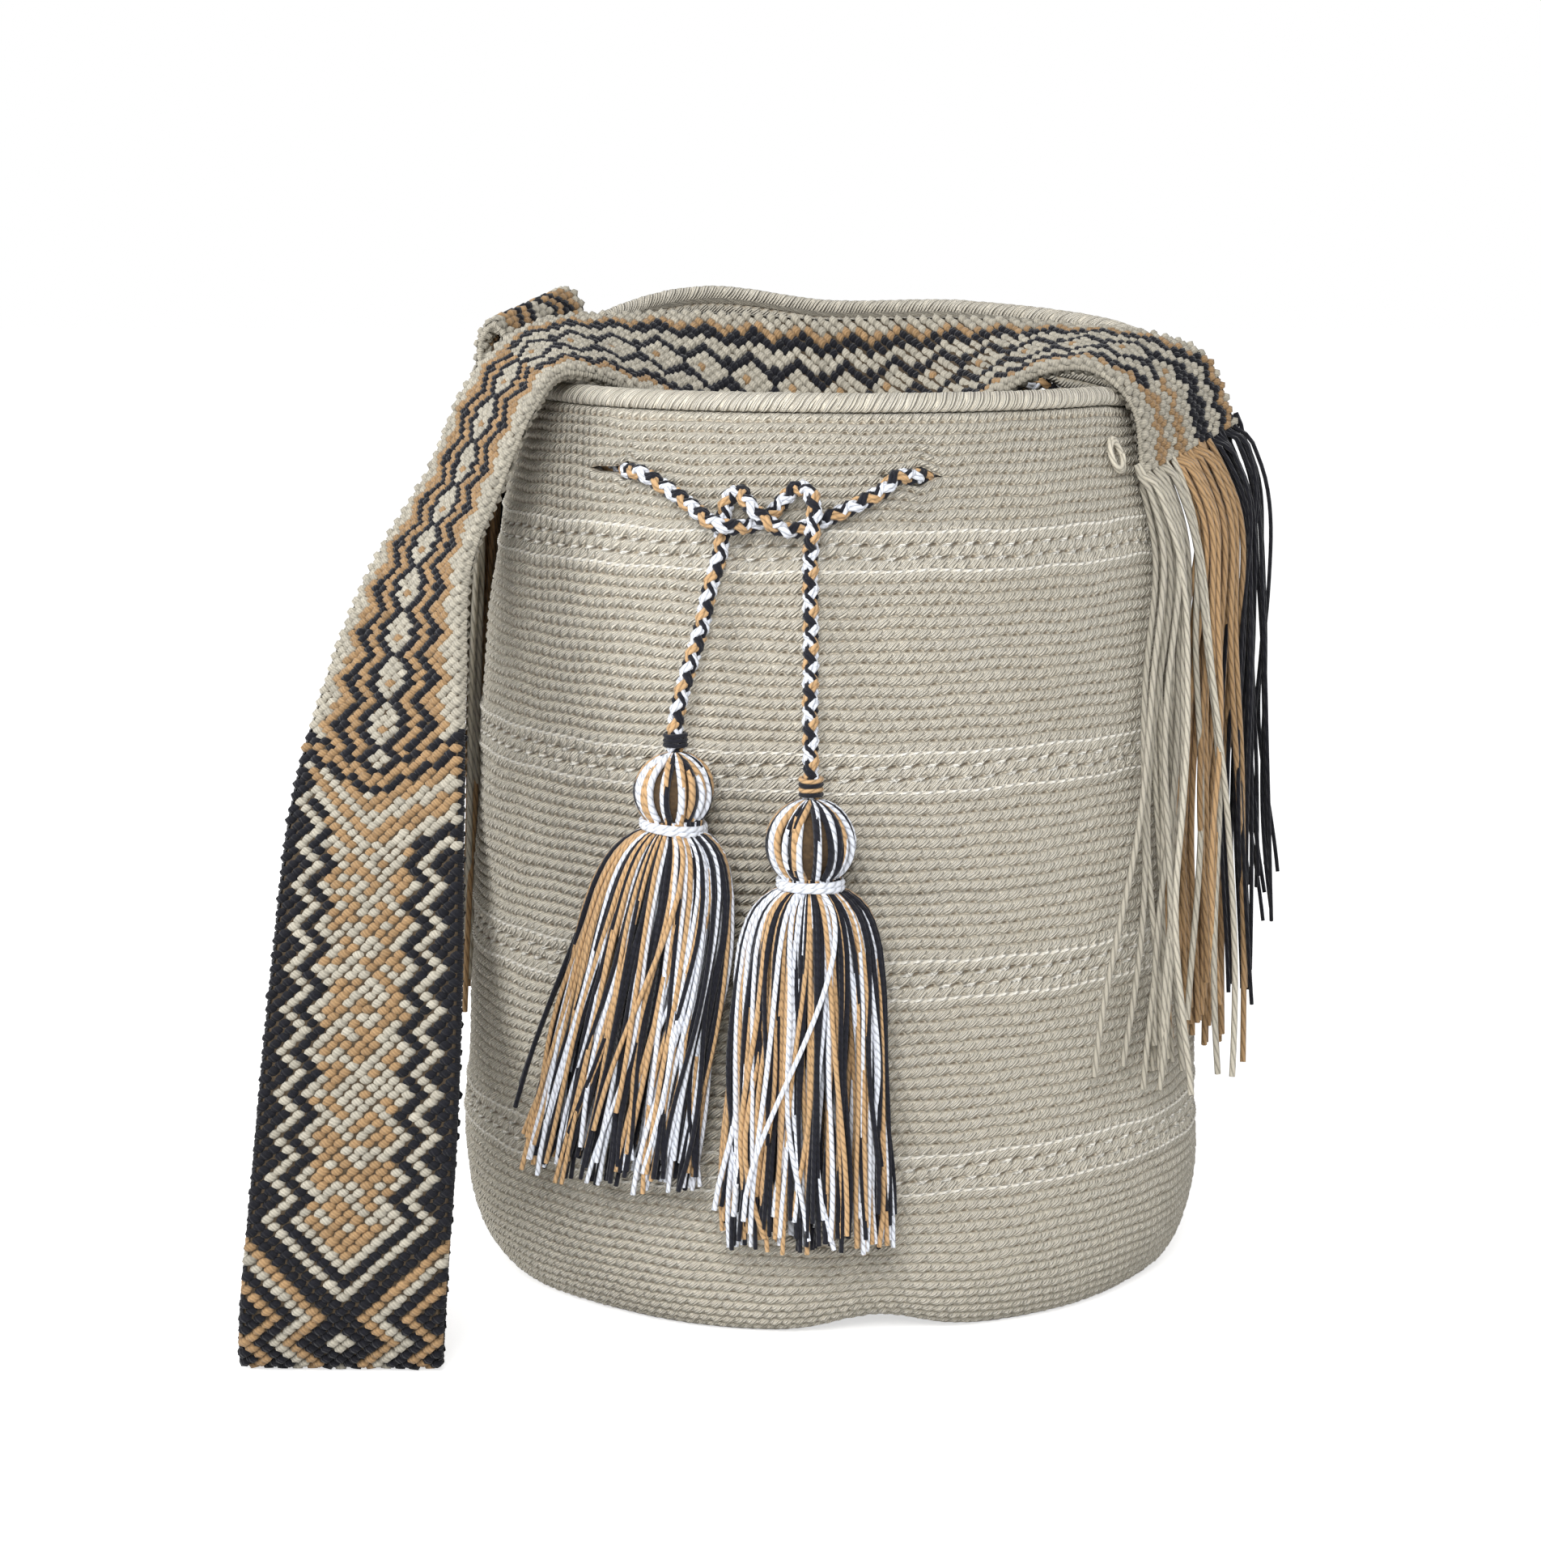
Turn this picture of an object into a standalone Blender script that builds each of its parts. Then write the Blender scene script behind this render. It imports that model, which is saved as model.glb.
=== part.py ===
import math

import bpy
from mathutils import Vector

# Lengths are metres. Angles are degrees round the bag from its front, positive to the right.

# Crocheted cup
FRONT_HEIGHT = 0.286
BASE_RADIUS = 0.105
BELLY_RADIUS = 0.1207
BELLY_HEIGHT = 0.040
UPPER_RADIUS = 0.1085
SHOULDER_HEIGHT = 0.160
MOUTH_RADIUS = 0.090
WALL = 0.0040
BASE_THICKNESS = 0.0040
FLAT_RADIUS = 0.086
SIDES = 36

# The mouth sags at the front and flares at the back right: angle, share of MOUTH_RADIUS, lift
MOUTH_OUTLINE = [
    (0, 1.00, 0.000),
    (60, 1.03, -0.001),
    (85, 1.09, -0.002),
    (115, 1.25, 0.013),
    (150, 1.09, 0.020),
    (180, 1.01, 0.020),
    (207, 1.06, 0.025),
    (232, 1.07, 0.018),
    (265, 1.065, 0.001),
    (298, 1.045, 0.000),
]

# Crochet rows, and the four bands, at shares of the height, that are framed by two raised lines
ROW_PITCH = 0.0115
ROW_DEPTH = 0.0010
BAND_SHARES = (0.1643, 0.3706, 0.5909, 0.8182)
BAND_WIDTH = 0.0115
LINE_WIDTH = 0.0034
LINE_RAISE = 0.0010
LIP_HEIGHT = 0.0085
LIP_RAISE = 0.0014

# One soft pleat lifts the bottom edge near the front
PLEAT_ANGLE = 7.0
PLEAT_SPREAD = 10.0
PLEAT_LIFT = 0.0045
PLEAT_DEPTH = 0.006

# Slit eyelets for the drawstring
EYELET_DROP = 0.024
EYELET_LENGTH = 0.024
EYELET_HEIGHT = 0.0076
EYELET_PLAIN = 0.0165
EYELET_COUNT = 6
TIE_ANGLE = -12.5
TIE_SPAN = 55.0

# Drawstring
CORD_DIAMETER = 0.0052
CORD_CLEARANCE = 0.0010
CORD_PASS = 0.019

# The tie lies this far under the eyelets, and the tassels hang from it
TIE_DROP = 0.014
LEFT_BALL = {"angle": -22.3, "height": 0.1705, "radius": 0.0117}
RIGHT_BALL = {"angle": -3.6, "height": 0.1570, "radius": 0.0130}

# Tassels
GAP = 0.0003
TASSEL_STANDOFF = 0.0018
WHIPPING_HEIGHT = 0.0075
SKIRT_LENGTH = 0.104
SKIRT_RADIUS = 0.012
NECK_RADIUS = 0.0085
BINDING_RADIUS = 0.0015
HEAD_TOP_TURN = math.radians(16.0)
STRAND_COUNT = 14
STRAND_SHARE = 0.09
RING_SIDES = 14
TUBE_SIDES = 6

# Shoulder strap and the free ends of its yarn
STRAP_WIDTH = 0.062
STRAP_THICKNESS = 0.0040
STRAP_SECTIONS = 104
KNOT_RELIEF = 0.0004
BEND_WEIGHT = 0.02
FRINGE_LENGTH = 0.190
BUNDLE_WIDTH = 0.0050
BUNDLE_DEPTH = 0.0026
FRINGE_STEP = 0.001

# A small loop of yarn on the wall, beside the strap's right end
LOOP_ANGLE = 59.0
LOOP_DROP = 0.0205
LOOP_RADIUS = 0.0038
LOOP_YARN = 0.0011

COLOURS = {
    "cream": (0.56, 0.51, 0.42, 1.0),
    "strap": (0.45, 0.34, 0.22, 1.0),
    "tan": (0.52, 0.32, 0.14, 1.0),
    "black": (0.012, 0.012, 0.022, 1.0),
    "white": (0.76, 0.78, 0.82, 1.0),
    "cord": (0.30, 0.24, 0.18, 1.0),
}


def smooth(share):
    share = min(max(share, 0.0), 1.0)
    return share * share * (3.0 - 2.0 * share)


def mix(low, high, share):
    return low + (high - low) * share


def around_mouth(angle, column):
    """Reads the mouth outline at any angle through a smooth closed curve."""
    angle = angle % 360.0
    count = len(MOUTH_OUTLINE)
    index = max(i for i in range(count) if MOUTH_OUTLINE[i][0] <= angle)

    def knot(step):
        turns, place = divmod(index + step, count)
        return MOUTH_OUTLINE[place][0] + 360.0 * turns, MOUTH_OUTLINE[place][column]

    (x0, y0), (x1, y1), (x2, y2), (x3, y3) = (knot(step) for step in (-1, 0, 1, 2))
    span = x2 - x1
    t = (angle - x1) / span
    slope1 = (y2 - y0) / (x2 - x0) * span
    slope2 = (y3 - y1) / (x3 - x1) * span
    return (
        (2 * t**3 - 3 * t**2 + 1) * y1
        + (t**3 - 2 * t**2 + t) * slope1
        + (3 * t**2 - 2 * t**3) * y2
        + (t**3 - t**2) * slope2
    )


def mouth_radius(angle):
    return MOUTH_RADIUS * around_mouth(angle, 1)


def mouth_height(angle):
    return FRONT_HEIGHT + around_mouth(angle, 2)


def pleat(angle):
    offset = (angle - PLEAT_ANGLE + 180.0) % 360.0 - 180.0
    return math.exp(-((offset / PLEAT_SPREAD) ** 2))


def wall_height(angle, level):
    """Height of a crochet row whose level is its height at the front."""
    rise = smooth((level - SHOULDER_HEIGHT) / (FRONT_HEIGHT - SHOULDER_HEIGHT))
    lift = around_mouth(angle, 2) * rise
    low = max(0.0, 1.0 - level / BELLY_HEIGHT) ** 2
    return level + lift + PLEAT_LIFT * pleat(angle) * low


def wall_level(angle, height):
    """The row that lies at a height, the inverse of wall_height above the belly."""
    level = height
    for _ in range(12):
        level += height - wall_height(angle, level)
    return min(level, FRONT_HEIGHT)


def row_radius(angle, level):
    """Smooth outer radius of the wall at a row."""
    if level < BELLY_HEIGHT:
        round_share = math.sqrt(1.0 - (1.0 - level / BELLY_HEIGHT) ** 2)
        edge = BASE_RADIUS - PLEAT_DEPTH * pleat(angle)
        return mix(edge, BELLY_RADIUS, round_share)
    rise = (level - BELLY_HEIGHT) / (FRONT_HEIGHT - BELLY_HEIGHT)
    radius = mix(BELLY_RADIUS, UPPER_RADIUS, rise)
    gather = max(0.0, (level - SHOULDER_HEIGHT) / (FRONT_HEIGHT - SHOULDER_HEIGHT)) ** 3
    return mix(radius, mouth_radius(angle), gather)


def polar(angle, radius, height):
    turn = math.radians(angle)
    return Vector((radius * math.sin(turn), -radius * math.cos(turn), height))


def by_wall(angle, out, height):
    """A point at a distance outside the wall."""
    return polar(angle, row_radius(angle, wall_level(angle, height)) + out, height)


def by_mouth(angle, out, up):
    """A point placed from the mouth's edge, outwards and upwards."""
    return polar(angle, mouth_radius(angle) + out, mouth_height(angle) + up)


def in_mouth(across, back, up):
    """A point inside the mouth, in shares of its radius and from the front edge's height."""
    return Vector((across * MOUTH_RADIUS, back * MOUTH_RADIUS, FRONT_HEIGHT + up))


def by_floor(across, back, share):
    """A point beside the bag, in shares of the belly's radius and the front height."""
    return Vector((across * BELLY_RADIUS, back * BELLY_RADIUS, share * FRONT_HEIGHT))


def clear_scene():
    for old in list(bpy.data.objects):
        bpy.data.objects.remove(old, do_unlink=True)


def material(name, colour, roughness):
    made = bpy.data.materials.new(name)
    made.use_nodes = True
    shader = made.node_tree.nodes["Principled BSDF"]
    shader.inputs["Base Color"].default_value = COLOURS[colour]
    shader.inputs["Roughness"].default_value = roughness
    shader.inputs["Metallic"].default_value = 0.0
    return made


def add_mesh(name, points, faces, colour, roughness=0.9):
    mesh = bpy.data.meshes.new(name)
    mesh.from_pydata([tuple(point) for point in points], [], faces)
    mesh.update()
    mesh.shade_smooth()
    mesh.set_sharp_from_angle(angle=math.radians(40.0))
    made = bpy.data.objects.new(name, mesh)
    bpy.context.scene.collection.objects.link(made)
    if colour:
        mesh.materials.append(material(name + "_yarn", colour, roughness))
    return made


def ring_faces(rings, sides):
    """Faces between rings and over both ends, for rings anticlockwise seen from the last one."""
    faces = []
    for ring in range(rings - 1):
        for side in range(sides):
            after = (side + 1) % sides
            low, high = ring * sides, (ring + 1) * sides
            faces.append((low + side, low + after, high + after, high + side))
    last = (rings - 1) * sides
    faces.append(tuple(reversed(range(sides))))
    faces.append(tuple(range(last, last + sides)))
    return faces


def spread(low, high, pitch):
    """Crests and grooves of the plain rows between two levels."""
    count = max(1, round((high - low) / pitch))
    step = (high - low) / count
    rows = []
    for index in range(count):
        rows.append((low + (index + 0.5) * step, 0.0))
        if index < count - 1:
            rows.append((low + (index + 1) * step, -ROW_DEPTH))
    return rows


def raised_line(level):
    half = LINE_WIDTH / 2
    return [(level - half, -ROW_DEPTH), (level, LINE_RAISE), (level + half, -ROW_DEPTH)]


def outer_rows():
    """The outer wall from the base to under the lip, as levels and radial offsets."""
    half = LINE_WIDTH / 2
    rows = [(0.0, 0.0), (0.1 * BELLY_HEIGHT, 0.0), (0.25 * BELLY_HEIGHT, -ROW_DEPTH)]
    start = rows[-1][0]
    for band in (share * FRONT_HEIGHT for share in BAND_SHARES):
        rows += spread(start, band - half, ROW_PITCH)
        rows += raised_line(band)
        rows += spread(band + half, band + BAND_WIDTH - half, ROW_PITCH)
        rows += raised_line(band + BAND_WIDTH)
        start = band + BAND_WIDTH + half
    eyelet = FRONT_HEIGHT - EYELET_DROP
    plain_low = eyelet - EYELET_PLAIN / 2
    plain_high = eyelet + EYELET_PLAIN / 2
    rows += [(plain_low, 0.0), (plain_high, 0.0)]
    rows += [(FRONT_HEIGHT - LIP_HEIGHT, -ROW_DEPTH)]
    return rows


def lip_rows():
    """The rolled edge, from the groove under it over the top to the inner wall."""
    return [
        (FRONT_HEIGHT - 0.75 * LIP_HEIGHT, -ROW_DEPTH),
        (FRONT_HEIGHT - 0.55 * LIP_HEIGHT, LIP_RAISE),
        (FRONT_HEIGHT - 0.2 * LIP_HEIGHT, LIP_RAISE),
        (FRONT_HEIGHT, -0.35 * WALL),
        (FRONT_HEIGHT - 0.04 * LIP_HEIGHT, -0.75 * WALL),
        (FRONT_HEIGHT - 0.3 * LIP_HEIGHT, -WALL - ROW_DEPTH / 2),
        (FRONT_HEIGHT - LIP_HEIGHT, -WALL),
    ]


def inner_rows():
    eyelet = FRONT_HEIGHT - EYELET_DROP
    levels = [eyelet + EYELET_PLAIN / 2, eyelet - EYELET_PLAIN / 2]
    steps = 5
    for step in range(1, steps):
        levels.append(mix(levels[1], BELLY_HEIGHT, step / steps))
    levels += [BELLY_HEIGHT, 0.45 * BELLY_HEIGHT, 0.2 * BELLY_HEIGHT]
    return [(level, -WALL) for level in levels]


def wall_ring(level, offset):
    ring = []
    for side in range(SIDES):
        angle = 360.0 * side / SIDES
        ring.append(polar(angle, row_radius(angle, level) + offset, wall_height(angle, level)))
    return ring


def flat_ring(radius, height):
    return [polar(360.0 * side / SIDES, radius, height) for side in range(SIDES)]


def bag_body():
    rings = [flat_ring(FLAT_RADIUS, 0.0)]
    rings += [wall_ring(level, offset) for level, offset in outer_rows()]
    rings += [wall_ring(level, offset) for level, offset in lip_rows()]
    rings += [wall_ring(level, offset) for level, offset in inner_rows()]
    rings.append(flat_ring(FLAT_RADIUS, BASE_THICKNESS + PLEAT_LIFT / 2))
    rings.append(flat_ring(FLAT_RADIUS / 2, BASE_THICKNESS))
    points = [point for ring in rings for point in ring]
    body = add_mesh("bag_body", points, ring_faces(len(rings), SIDES), "cream")
    cut = body.modifiers.new("eyelets", "BOOLEAN")
    cut.operation = "DIFFERENCE"
    cut.solver = "EXACT"
    cut.object = eyelet_cutter()
    return body


def eyelet_angles():
    """The front pair spans the tie, and the others share the rest of the way round."""
    step = (360.0 - TIE_SPAN) / (EYELET_COUNT - 1)
    first = TIE_ANGLE + TIE_SPAN / 2
    return [first + step * index for index in range(EYELET_COUNT)]


def eyelet_cutter():
    """Round-ended slots, straight through the wall."""
    corner = 5
    radius = EYELET_HEIGHT / 2
    flat = EYELET_LENGTH / 2 - radius
    outline = []
    for end in (1, -1):
        for index in range(corner):
            turn = math.pi * (index / (corner - 1) - 0.5)
            across = end * (flat + radius * math.cos(turn))
            outline.append((across, end * radius * math.sin(turn)))
    points = []
    faces = []
    sides = len(outline)
    for angle in eyelet_angles():
        height = wall_height(angle, FRONT_HEIGHT - EYELET_DROP)
        middle = row_radius(angle, FRONT_HEIGHT - EYELET_DROP) - WALL / 2
        first = len(points)
        turn = math.radians(angle)
        along = Vector((math.cos(turn), math.sin(turn), 0.0))
        for radial in (middle - 3 * WALL, middle + 3 * WALL):
            centre = polar(angle, radial, height)
            points += [centre + along * x + Vector((0.0, 0.0, z)) for x, z in outline]
        faces += [tuple(first + index for index in face) for face in ring_faces(2, sides)]
    cutter = add_mesh("eyelet_cutter", points, faces, None)
    cutter.hide_render = True
    cutter.display_type = "WIRE"
    return cutter


def curve_through(points, per_span):
    """Points of a smooth curve through the given ones, with even steps in each span."""
    ends = [points[0] * 2 - points[1]] + list(points) + [points[-1] * 2 - points[-2]]
    made = []
    for index in range(len(points) - 1):
        p0, p1, p2, p3 = ends[index:index + 4]
        for step in range(per_span):
            made.append(bend(p0, p1, p2, p3, step / per_span))
    made.append(points[-1].copy())
    return made


def bend(p0, p1, p2, p3, share):
    """Centripetal Catmull-Rom between p1 and p2."""
    t1 = (p1 - p0).length ** 0.5
    t2 = t1 + (p2 - p1).length ** 0.5
    t3 = t2 + (p3 - p2).length ** 0.5
    t = mix(t1, t2, share)
    a1 = p0 * ((t1 - t) / t1) + p1 * (t / t1)
    a2 = p1 * ((t2 - t) / (t2 - t1)) + p2 * ((t - t1) / (t2 - t1))
    a3 = p2 * ((t3 - t) / (t3 - t2)) + p3 * ((t - t2) / (t3 - t2))
    b1 = a1 * ((t2 - t) / t2) + a2 * (t / t2)
    b2 = a2 * ((t3 - t) / (t3 - t1)) + a3 * ((t - t1) / (t3 - t1))
    return b1 * ((t2 - t) / (t2 - t1)) + b2 * ((t - t1) / (t2 - t1))


def cord_pass(angle, inwards):
    """Cord points through one eyelet; inwards tells which side it starts on."""
    level = FRONT_HEIGHT - EYELET_DROP
    height = wall_height(angle, level)
    outside = CORD_DIAMETER / 2 + CORD_CLEARANCE
    inside = -WALL - CORD_DIAMETER / 2 - CORD_CLEARANCE
    start, end = (outside, inside) if inwards else (inside, outside)
    made = []
    for share in (0.0, 0.33, 0.67, 1.0):
        there = angle + math.degrees((share - 0.5) * CORD_PASS / row_radius(angle, level))
        made.append(polar(there, row_radius(there, level) + mix(start, end, smooth(share)), height))
    return made


def cord_run(start, end, outside, count):
    """Cord points along the wall between two eyelets."""
    level = FRONT_HEIGHT - EYELET_DROP
    side = 1 if outside else -1
    off = CORD_DIAMETER / 2 + CORD_CLEARANCE + (0.0 if outside else WALL)
    half_pass = math.degrees(CORD_PASS / 2 / mouth_radius(start))
    made = []
    for index in range(1, count + 1):
        share = index / (count + 1)
        angle = mix(start + half_pass, end - half_pass, share)
        radius = row_radius(angle, level) + side * off
        made.append(polar(angle, radius, wall_height(angle, level)))
    return made


def tail(angle_top, ball, stations):
    """Cord points down the front from the tie, then straight into the top of a tassel."""
    end = by_wall(ball["angle"], ball_standoff(ball), ball_top(ball) + GAP)
    low_height = end.z + WHIPPING_HEIGHT
    top_height = FRONT_HEIGHT - EYELET_DROP - TIE_DROP
    resting = CORD_DIAMETER / 2 + CORD_CLEARANCE + LINE_RAISE
    made = []
    for index in range(1, stations):
        share = index / stations
        height = mix(top_height, low_height, share)
        out = mix(resting, ball_standoff(ball), smooth((share - 0.4) / 0.5))
        made.append(by_wall(mix(angle_top, ball["angle"], share), out, height))
    made += [end + Vector((0.0, 0.0, WHIPPING_HEIGHT)), end]
    return made


def ball_standoff(ball):
    return ball["radius"] + TASSEL_STANDOFF


def tie_point(angle, drop, level):
    """A point of the tie; level 0 lies on the wall and level 1 passes over another cord."""
    resting = CORD_DIAMETER / 2 + CORD_CLEARANCE + LINE_RAISE * smooth(drop / (EYELET_PLAIN / 2))
    out = resting + level * (CORD_DIAMETER + 2 * GAP)
    return by_wall(angle, out, FRONT_HEIGHT - EYELET_DROP - drop)


def drawstring():
    """One cord: left tail, tie, round through the six eyelets, tie again and right tail."""
    first, last = eyelet_angles()[0], eyelet_angles()[-1] - 360.0
    left_tie = [
        tie_point(-18.4, 0.0215, 0.0),
        tie_point(-18.4, 0.0125, 0.0),
        tie_point(-17.8, 0.0065, 0.0),
        tie_point(-15.9, 0.0040, 0.3),
        tie_point(-13.8, 0.0070, 1.0),
        tie_point(-10.8, 0.0118, 1.12),
        tie_point(-7.6, 0.0150, 0.5),
        tie_point(-4.2, 0.0135, 0.0),
        tie_point(1.5, 0.0090, 0.0),
        tie_point(7.5, 0.0035, 0.0),
    ]
    right_tie = [
        tie_point(-28.5, 0.0045, 0.0),
        tie_point(-23.5, 0.0088, 0.3),
        tie_point(-19.6, 0.0124, 0.95),
        tie_point(-17.0, 0.0138, 1.0),
        tie_point(-13.9, 0.0140, 0.1),
        tie_point(-11.0, 0.0110, -0.05),
        tie_point(-8.6, 0.0062, 0.0),
        tie_point(-6.8, 0.0030, 0.2),
        tie_point(-4.6, 0.0035, 0.7),
        tie_point(-3.6, 0.0085, 1.0),
        tie_point(-3.8, 0.0145, 1.0),
        tie_point(-4.2, 0.0215, 0.3),
    ]
    route = list(reversed(tail(-18.6, LEFT_BALL, 6)[1:]))
    route += left_tie
    angles = eyelet_angles()
    for index, angle in enumerate(angles):
        inwards = index % 2 == 0
        route += cord_pass(angle, inwards)
        if index < len(angles) - 1:
            route += cord_run(angle, angles[index + 1], not inwards, 5)
    route += right_tie
    route += tail(-4.4, RIGHT_BALL, 7)[1:]
    return cord_tube("drawstring", route, CORD_DIAMETER, "cord")


def cord_tube(name, points, diameter, colour):
    curve = bpy.data.curves.new(name, "CURVE")
    curve.dimensions = "3D"
    curve.bevel_depth = diameter / 2
    curve.bevel_resolution = 2
    curve.use_fill_caps = True
    spline = curve.splines.new("POLY")
    spline.points.add(len(points) - 1)
    for place, point in zip(spline.points, points):
        place.co = (*point, 1.0)
    made = bpy.data.objects.new(name, curve)
    bpy.context.scene.collection.objects.link(made)
    curve.materials.append(material(name + "_yarn", colour, 0.85))
    return made


def hung(angle, out, across, deep, height):
    """A point of something that hangs in front of the wall, from its own centre."""
    level = wall_level(angle, height)
    reach = row_radius(angle, level) + out
    turn = math.degrees(across / reach)
    return polar(angle + turn, reach + deep, height)


def ball_top(ball):
    return ball["height"] + ball["radius"] * math.cos(HEAD_TOP_TURN)


def ball_profile(ball):
    """Radii of a tassel's head and neck from the cord down."""
    rows = []
    steps = 6
    neck_turn = math.asin(NECK_RADIUS / ball["radius"])
    for index in range(steps + 1):
        turn = mix(HEAD_TOP_TURN, math.pi - neck_turn, index / steps)
        height = ball["height"] + ball["radius"] * math.cos(turn)
        rows.append((height, ball["radius"] * math.sin(turn)))
    rows.append((rows[-1][0] - 2.4 * BINDING_RADIUS, NECK_RADIUS))
    return rows


def neck_height(ball):
    return ball_profile(ball)[-1][0] + 1.2 * BINDING_RADIUS


def tassel(name, ball, foot_angle, foot_half_width):
    """A head of wrapped yarn over a neck, and a skirt of strands with ragged ends."""
    sides = 2 * STRAND_COUNT
    points = []
    out = ball_standoff(ball)
    head = ball_profile(ball)
    for height, radius in head:
        for side in range(sides):
            turn = 2 * math.pi * side / sides
            ridge = 1.0 - STRAND_SHARE * (side % 2) * 0.6
            x, y = radius * ridge * math.cos(turn), radius * ridge * math.sin(turn)
            points.append(hung(ball["angle"], out, x, y, height))
    skirt = (0.05, 0.16, 0.34, 0.56, 0.78, 1.0)
    top = head[-1][0]
    for share in skirt:
        swell = smooth(share * 1.6 + 0.12)
        half_width = mix(NECK_RADIUS, foot_half_width, 0.45 * swell + 0.55 * share)
        half_depth = mix(NECK_RADIUS, SKIRT_RADIUS, swell)
        centre = mix(out, SKIRT_RADIUS + TASSEL_STANDOFF, swell)
        angle = mix(ball["angle"], foot_angle, share)
        for side in range(sides):
            turn = 2 * math.pi * side / sides
            ridge = 1.0 - STRAND_SHARE * (side % 2)
            ragged = 0.0
            if share == 1.0:
                ragged = 0.035 * math.sin(5.0 * turn) + 0.03 * (side % 2)
            height = top - SKIRT_LENGTH * (share - ragged)
            x = half_width * ridge * math.cos(turn)
            y = half_depth * ridge * math.sin(turn)
            points.append(hung(angle, centre, x, y, height))
    return add_mesh(name, points, ring_faces(len(head) + len(skirt), sides), "white")


def collar(name, ball, height, seat, inner, thickness, colour):
    """A yarn ring wound round a neck or a cord end, centred as what it holds is at its seat."""
    out = ball_standoff(ball)
    points = []
    for turn, roll in ring_turns():
        radius = inner + thickness + thickness * math.cos(roll)
        x, y = radius * math.cos(turn), radius * math.sin(turn)
        point = hung(ball["angle"], out, x, y, seat)
        point.z = height - thickness * math.sin(roll)
        points.append(point)
    return add_mesh(name, points, ring_tube_faces(), colour)


def anchor_loop():
    """A ring of yarn that lies flat on the wall."""
    middle = wall_height(LOOP_ANGLE, FRONT_HEIGHT - LOOP_DROP)
    points = []
    for turn, roll in ring_turns():
        radius = LOOP_RADIUS + LOOP_YARN * math.cos(roll)
        x, height = radius * math.cos(turn), middle + radius * math.sin(turn)
        points.append(hung(LOOP_ANGLE, GAP + LOOP_YARN, x, LOOP_YARN * math.sin(roll), height))
    return add_mesh("anchor_loop_right", points, ring_tube_faces(), "white")


def ring_turns():
    """Angles round a ring and round its tube, in the order of ring_tube_faces."""
    for step in range(RING_SIDES):
        for side in range(TUBE_SIDES):
            yield 2 * math.pi * step / RING_SIDES, 2 * math.pi * side / TUBE_SIDES


def ring_tube_faces():
    ring_sides, tube_sides = RING_SIDES, TUBE_SIDES
    faces = []
    for step in range(ring_sides):
        for side in range(tube_sides):
            ahead, after = (step + 1) % ring_sides, (side + 1) % tube_sides
            faces.append((
                step * tube_sides + side,
                ahead * tube_sides + side,
                ahead * tube_sides + after,
                step * tube_sides + after,
            ))
    return faces


def strap_edges():
    """Pairs of points on the strap's near and far edges, from its right end to its left."""
    top = FRONT_HEIGHT
    return [
        (by_wall(66, 0.0040, top - 0.028), by_wall(91, 0.0250, top - 0.017)),
        (by_mouth(66, 0.0075, -0.006), by_mouth(96, 0.0170, 0.003)),
        (by_mouth(63, -0.0030, 0.0045), by_mouth(100, -0.0010, 0.0065)),
        (in_mouth(0.72, -0.40, 0.003), in_mouth(0.93, 0.24, 0.0138)),
        (in_mouth(0.00, -0.30, -0.030), in_mouth(0.00, 0.14, 0.018)),
        (in_mouth(-0.64, -0.40, -0.004), in_mouth(-0.75, 0.18, 0.0175)),
        (by_mouth(-57, 0.0060, 0.0045), by_mouth(-89, 0.0010, 0.0145)),
        (by_mouth(-52, 0.0240, -0.006), by_mouth(-81, 0.0210, -0.001)),
        (by_wall(-52, 0.0275, top - 0.029), by_wall(-78, 0.0265, top - 0.028)),
        (by_floor(-0.912, -0.787, 0.8205), by_floor(-1.192, -0.373, 0.8005)),
        (by_floor(-0.910, -0.928, 0.7005), by_floor(-1.307, -0.597, 0.6800)),
        (by_floor(-0.911, -1.036, 0.5805), by_floor(-1.369, -0.812, 0.5640)),
        (by_floor(-0.914, -1.143, 0.4195), by_floor(-1.397, -1.011, 0.4080)),
        (by_floor(-0.934, -1.218, 0.2140), by_floor(-1.432, -1.176, 0.2125)),
        (by_floor(-0.955, -1.248, 0.0650), by_floor(-1.470, -1.238, 0.0650)),
        (by_floor(-0.965, -1.180, 0.0095), by_floor(-1.480, -1.170, 0.0095)),
        (by_floor(-0.965, -1.090, 0.0500), by_floor(-1.478, -1.070, 0.0500)),
        (by_floor(-0.965, -0.840, 0.1750), by_floor(-1.470, -0.820, 0.1750)),
        (by_floor(-0.980, -0.500, 0.3500), by_floor(-1.440, -0.330, 0.3500)),
        (by_floor(-1.005, -0.240, 0.5300), by_floor(-1.310, 0.150, 0.5300)),
        (by_floor(-1.020, -0.030, 0.7000), by_floor(-1.120, 0.460, 0.7000)),
        (by_wall(-93, 0.0220, top - 0.034), by_wall(-125, 0.0225, top - 0.030)),
        (by_wall(-95, 0.0220, top - 0.022), by_wall(-128, 0.0220, top - 0.013)),
        (by_mouth(-95, 0.0208, -0.002), by_mouth(-128, 0.0208, -0.0095)),
        (by_mouth(-95, 0.0196, 0.0095), by_mouth(-128, 0.0196, 0.0015)),
        (by_mouth(-95, 0.0150, 0.0142), by_mouth(-128, 0.0150, 0.0062)),
        (by_mouth(-95, 0.0104, 0.0095), by_mouth(-128, 0.0104, 0.0015)),
        (by_mouth(-95, 0.0096, -0.001), by_mouth(-128, 0.0096, -0.009)),
        (by_wall(-95, 0.0148, top - 0.0130), by_wall(-128, 0.0148, top - 0.004)),
        (by_wall(-95, 0.0150, top - 0.0220), by_wall(-128, 0.0150, top - 0.013)),
    ]


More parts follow.
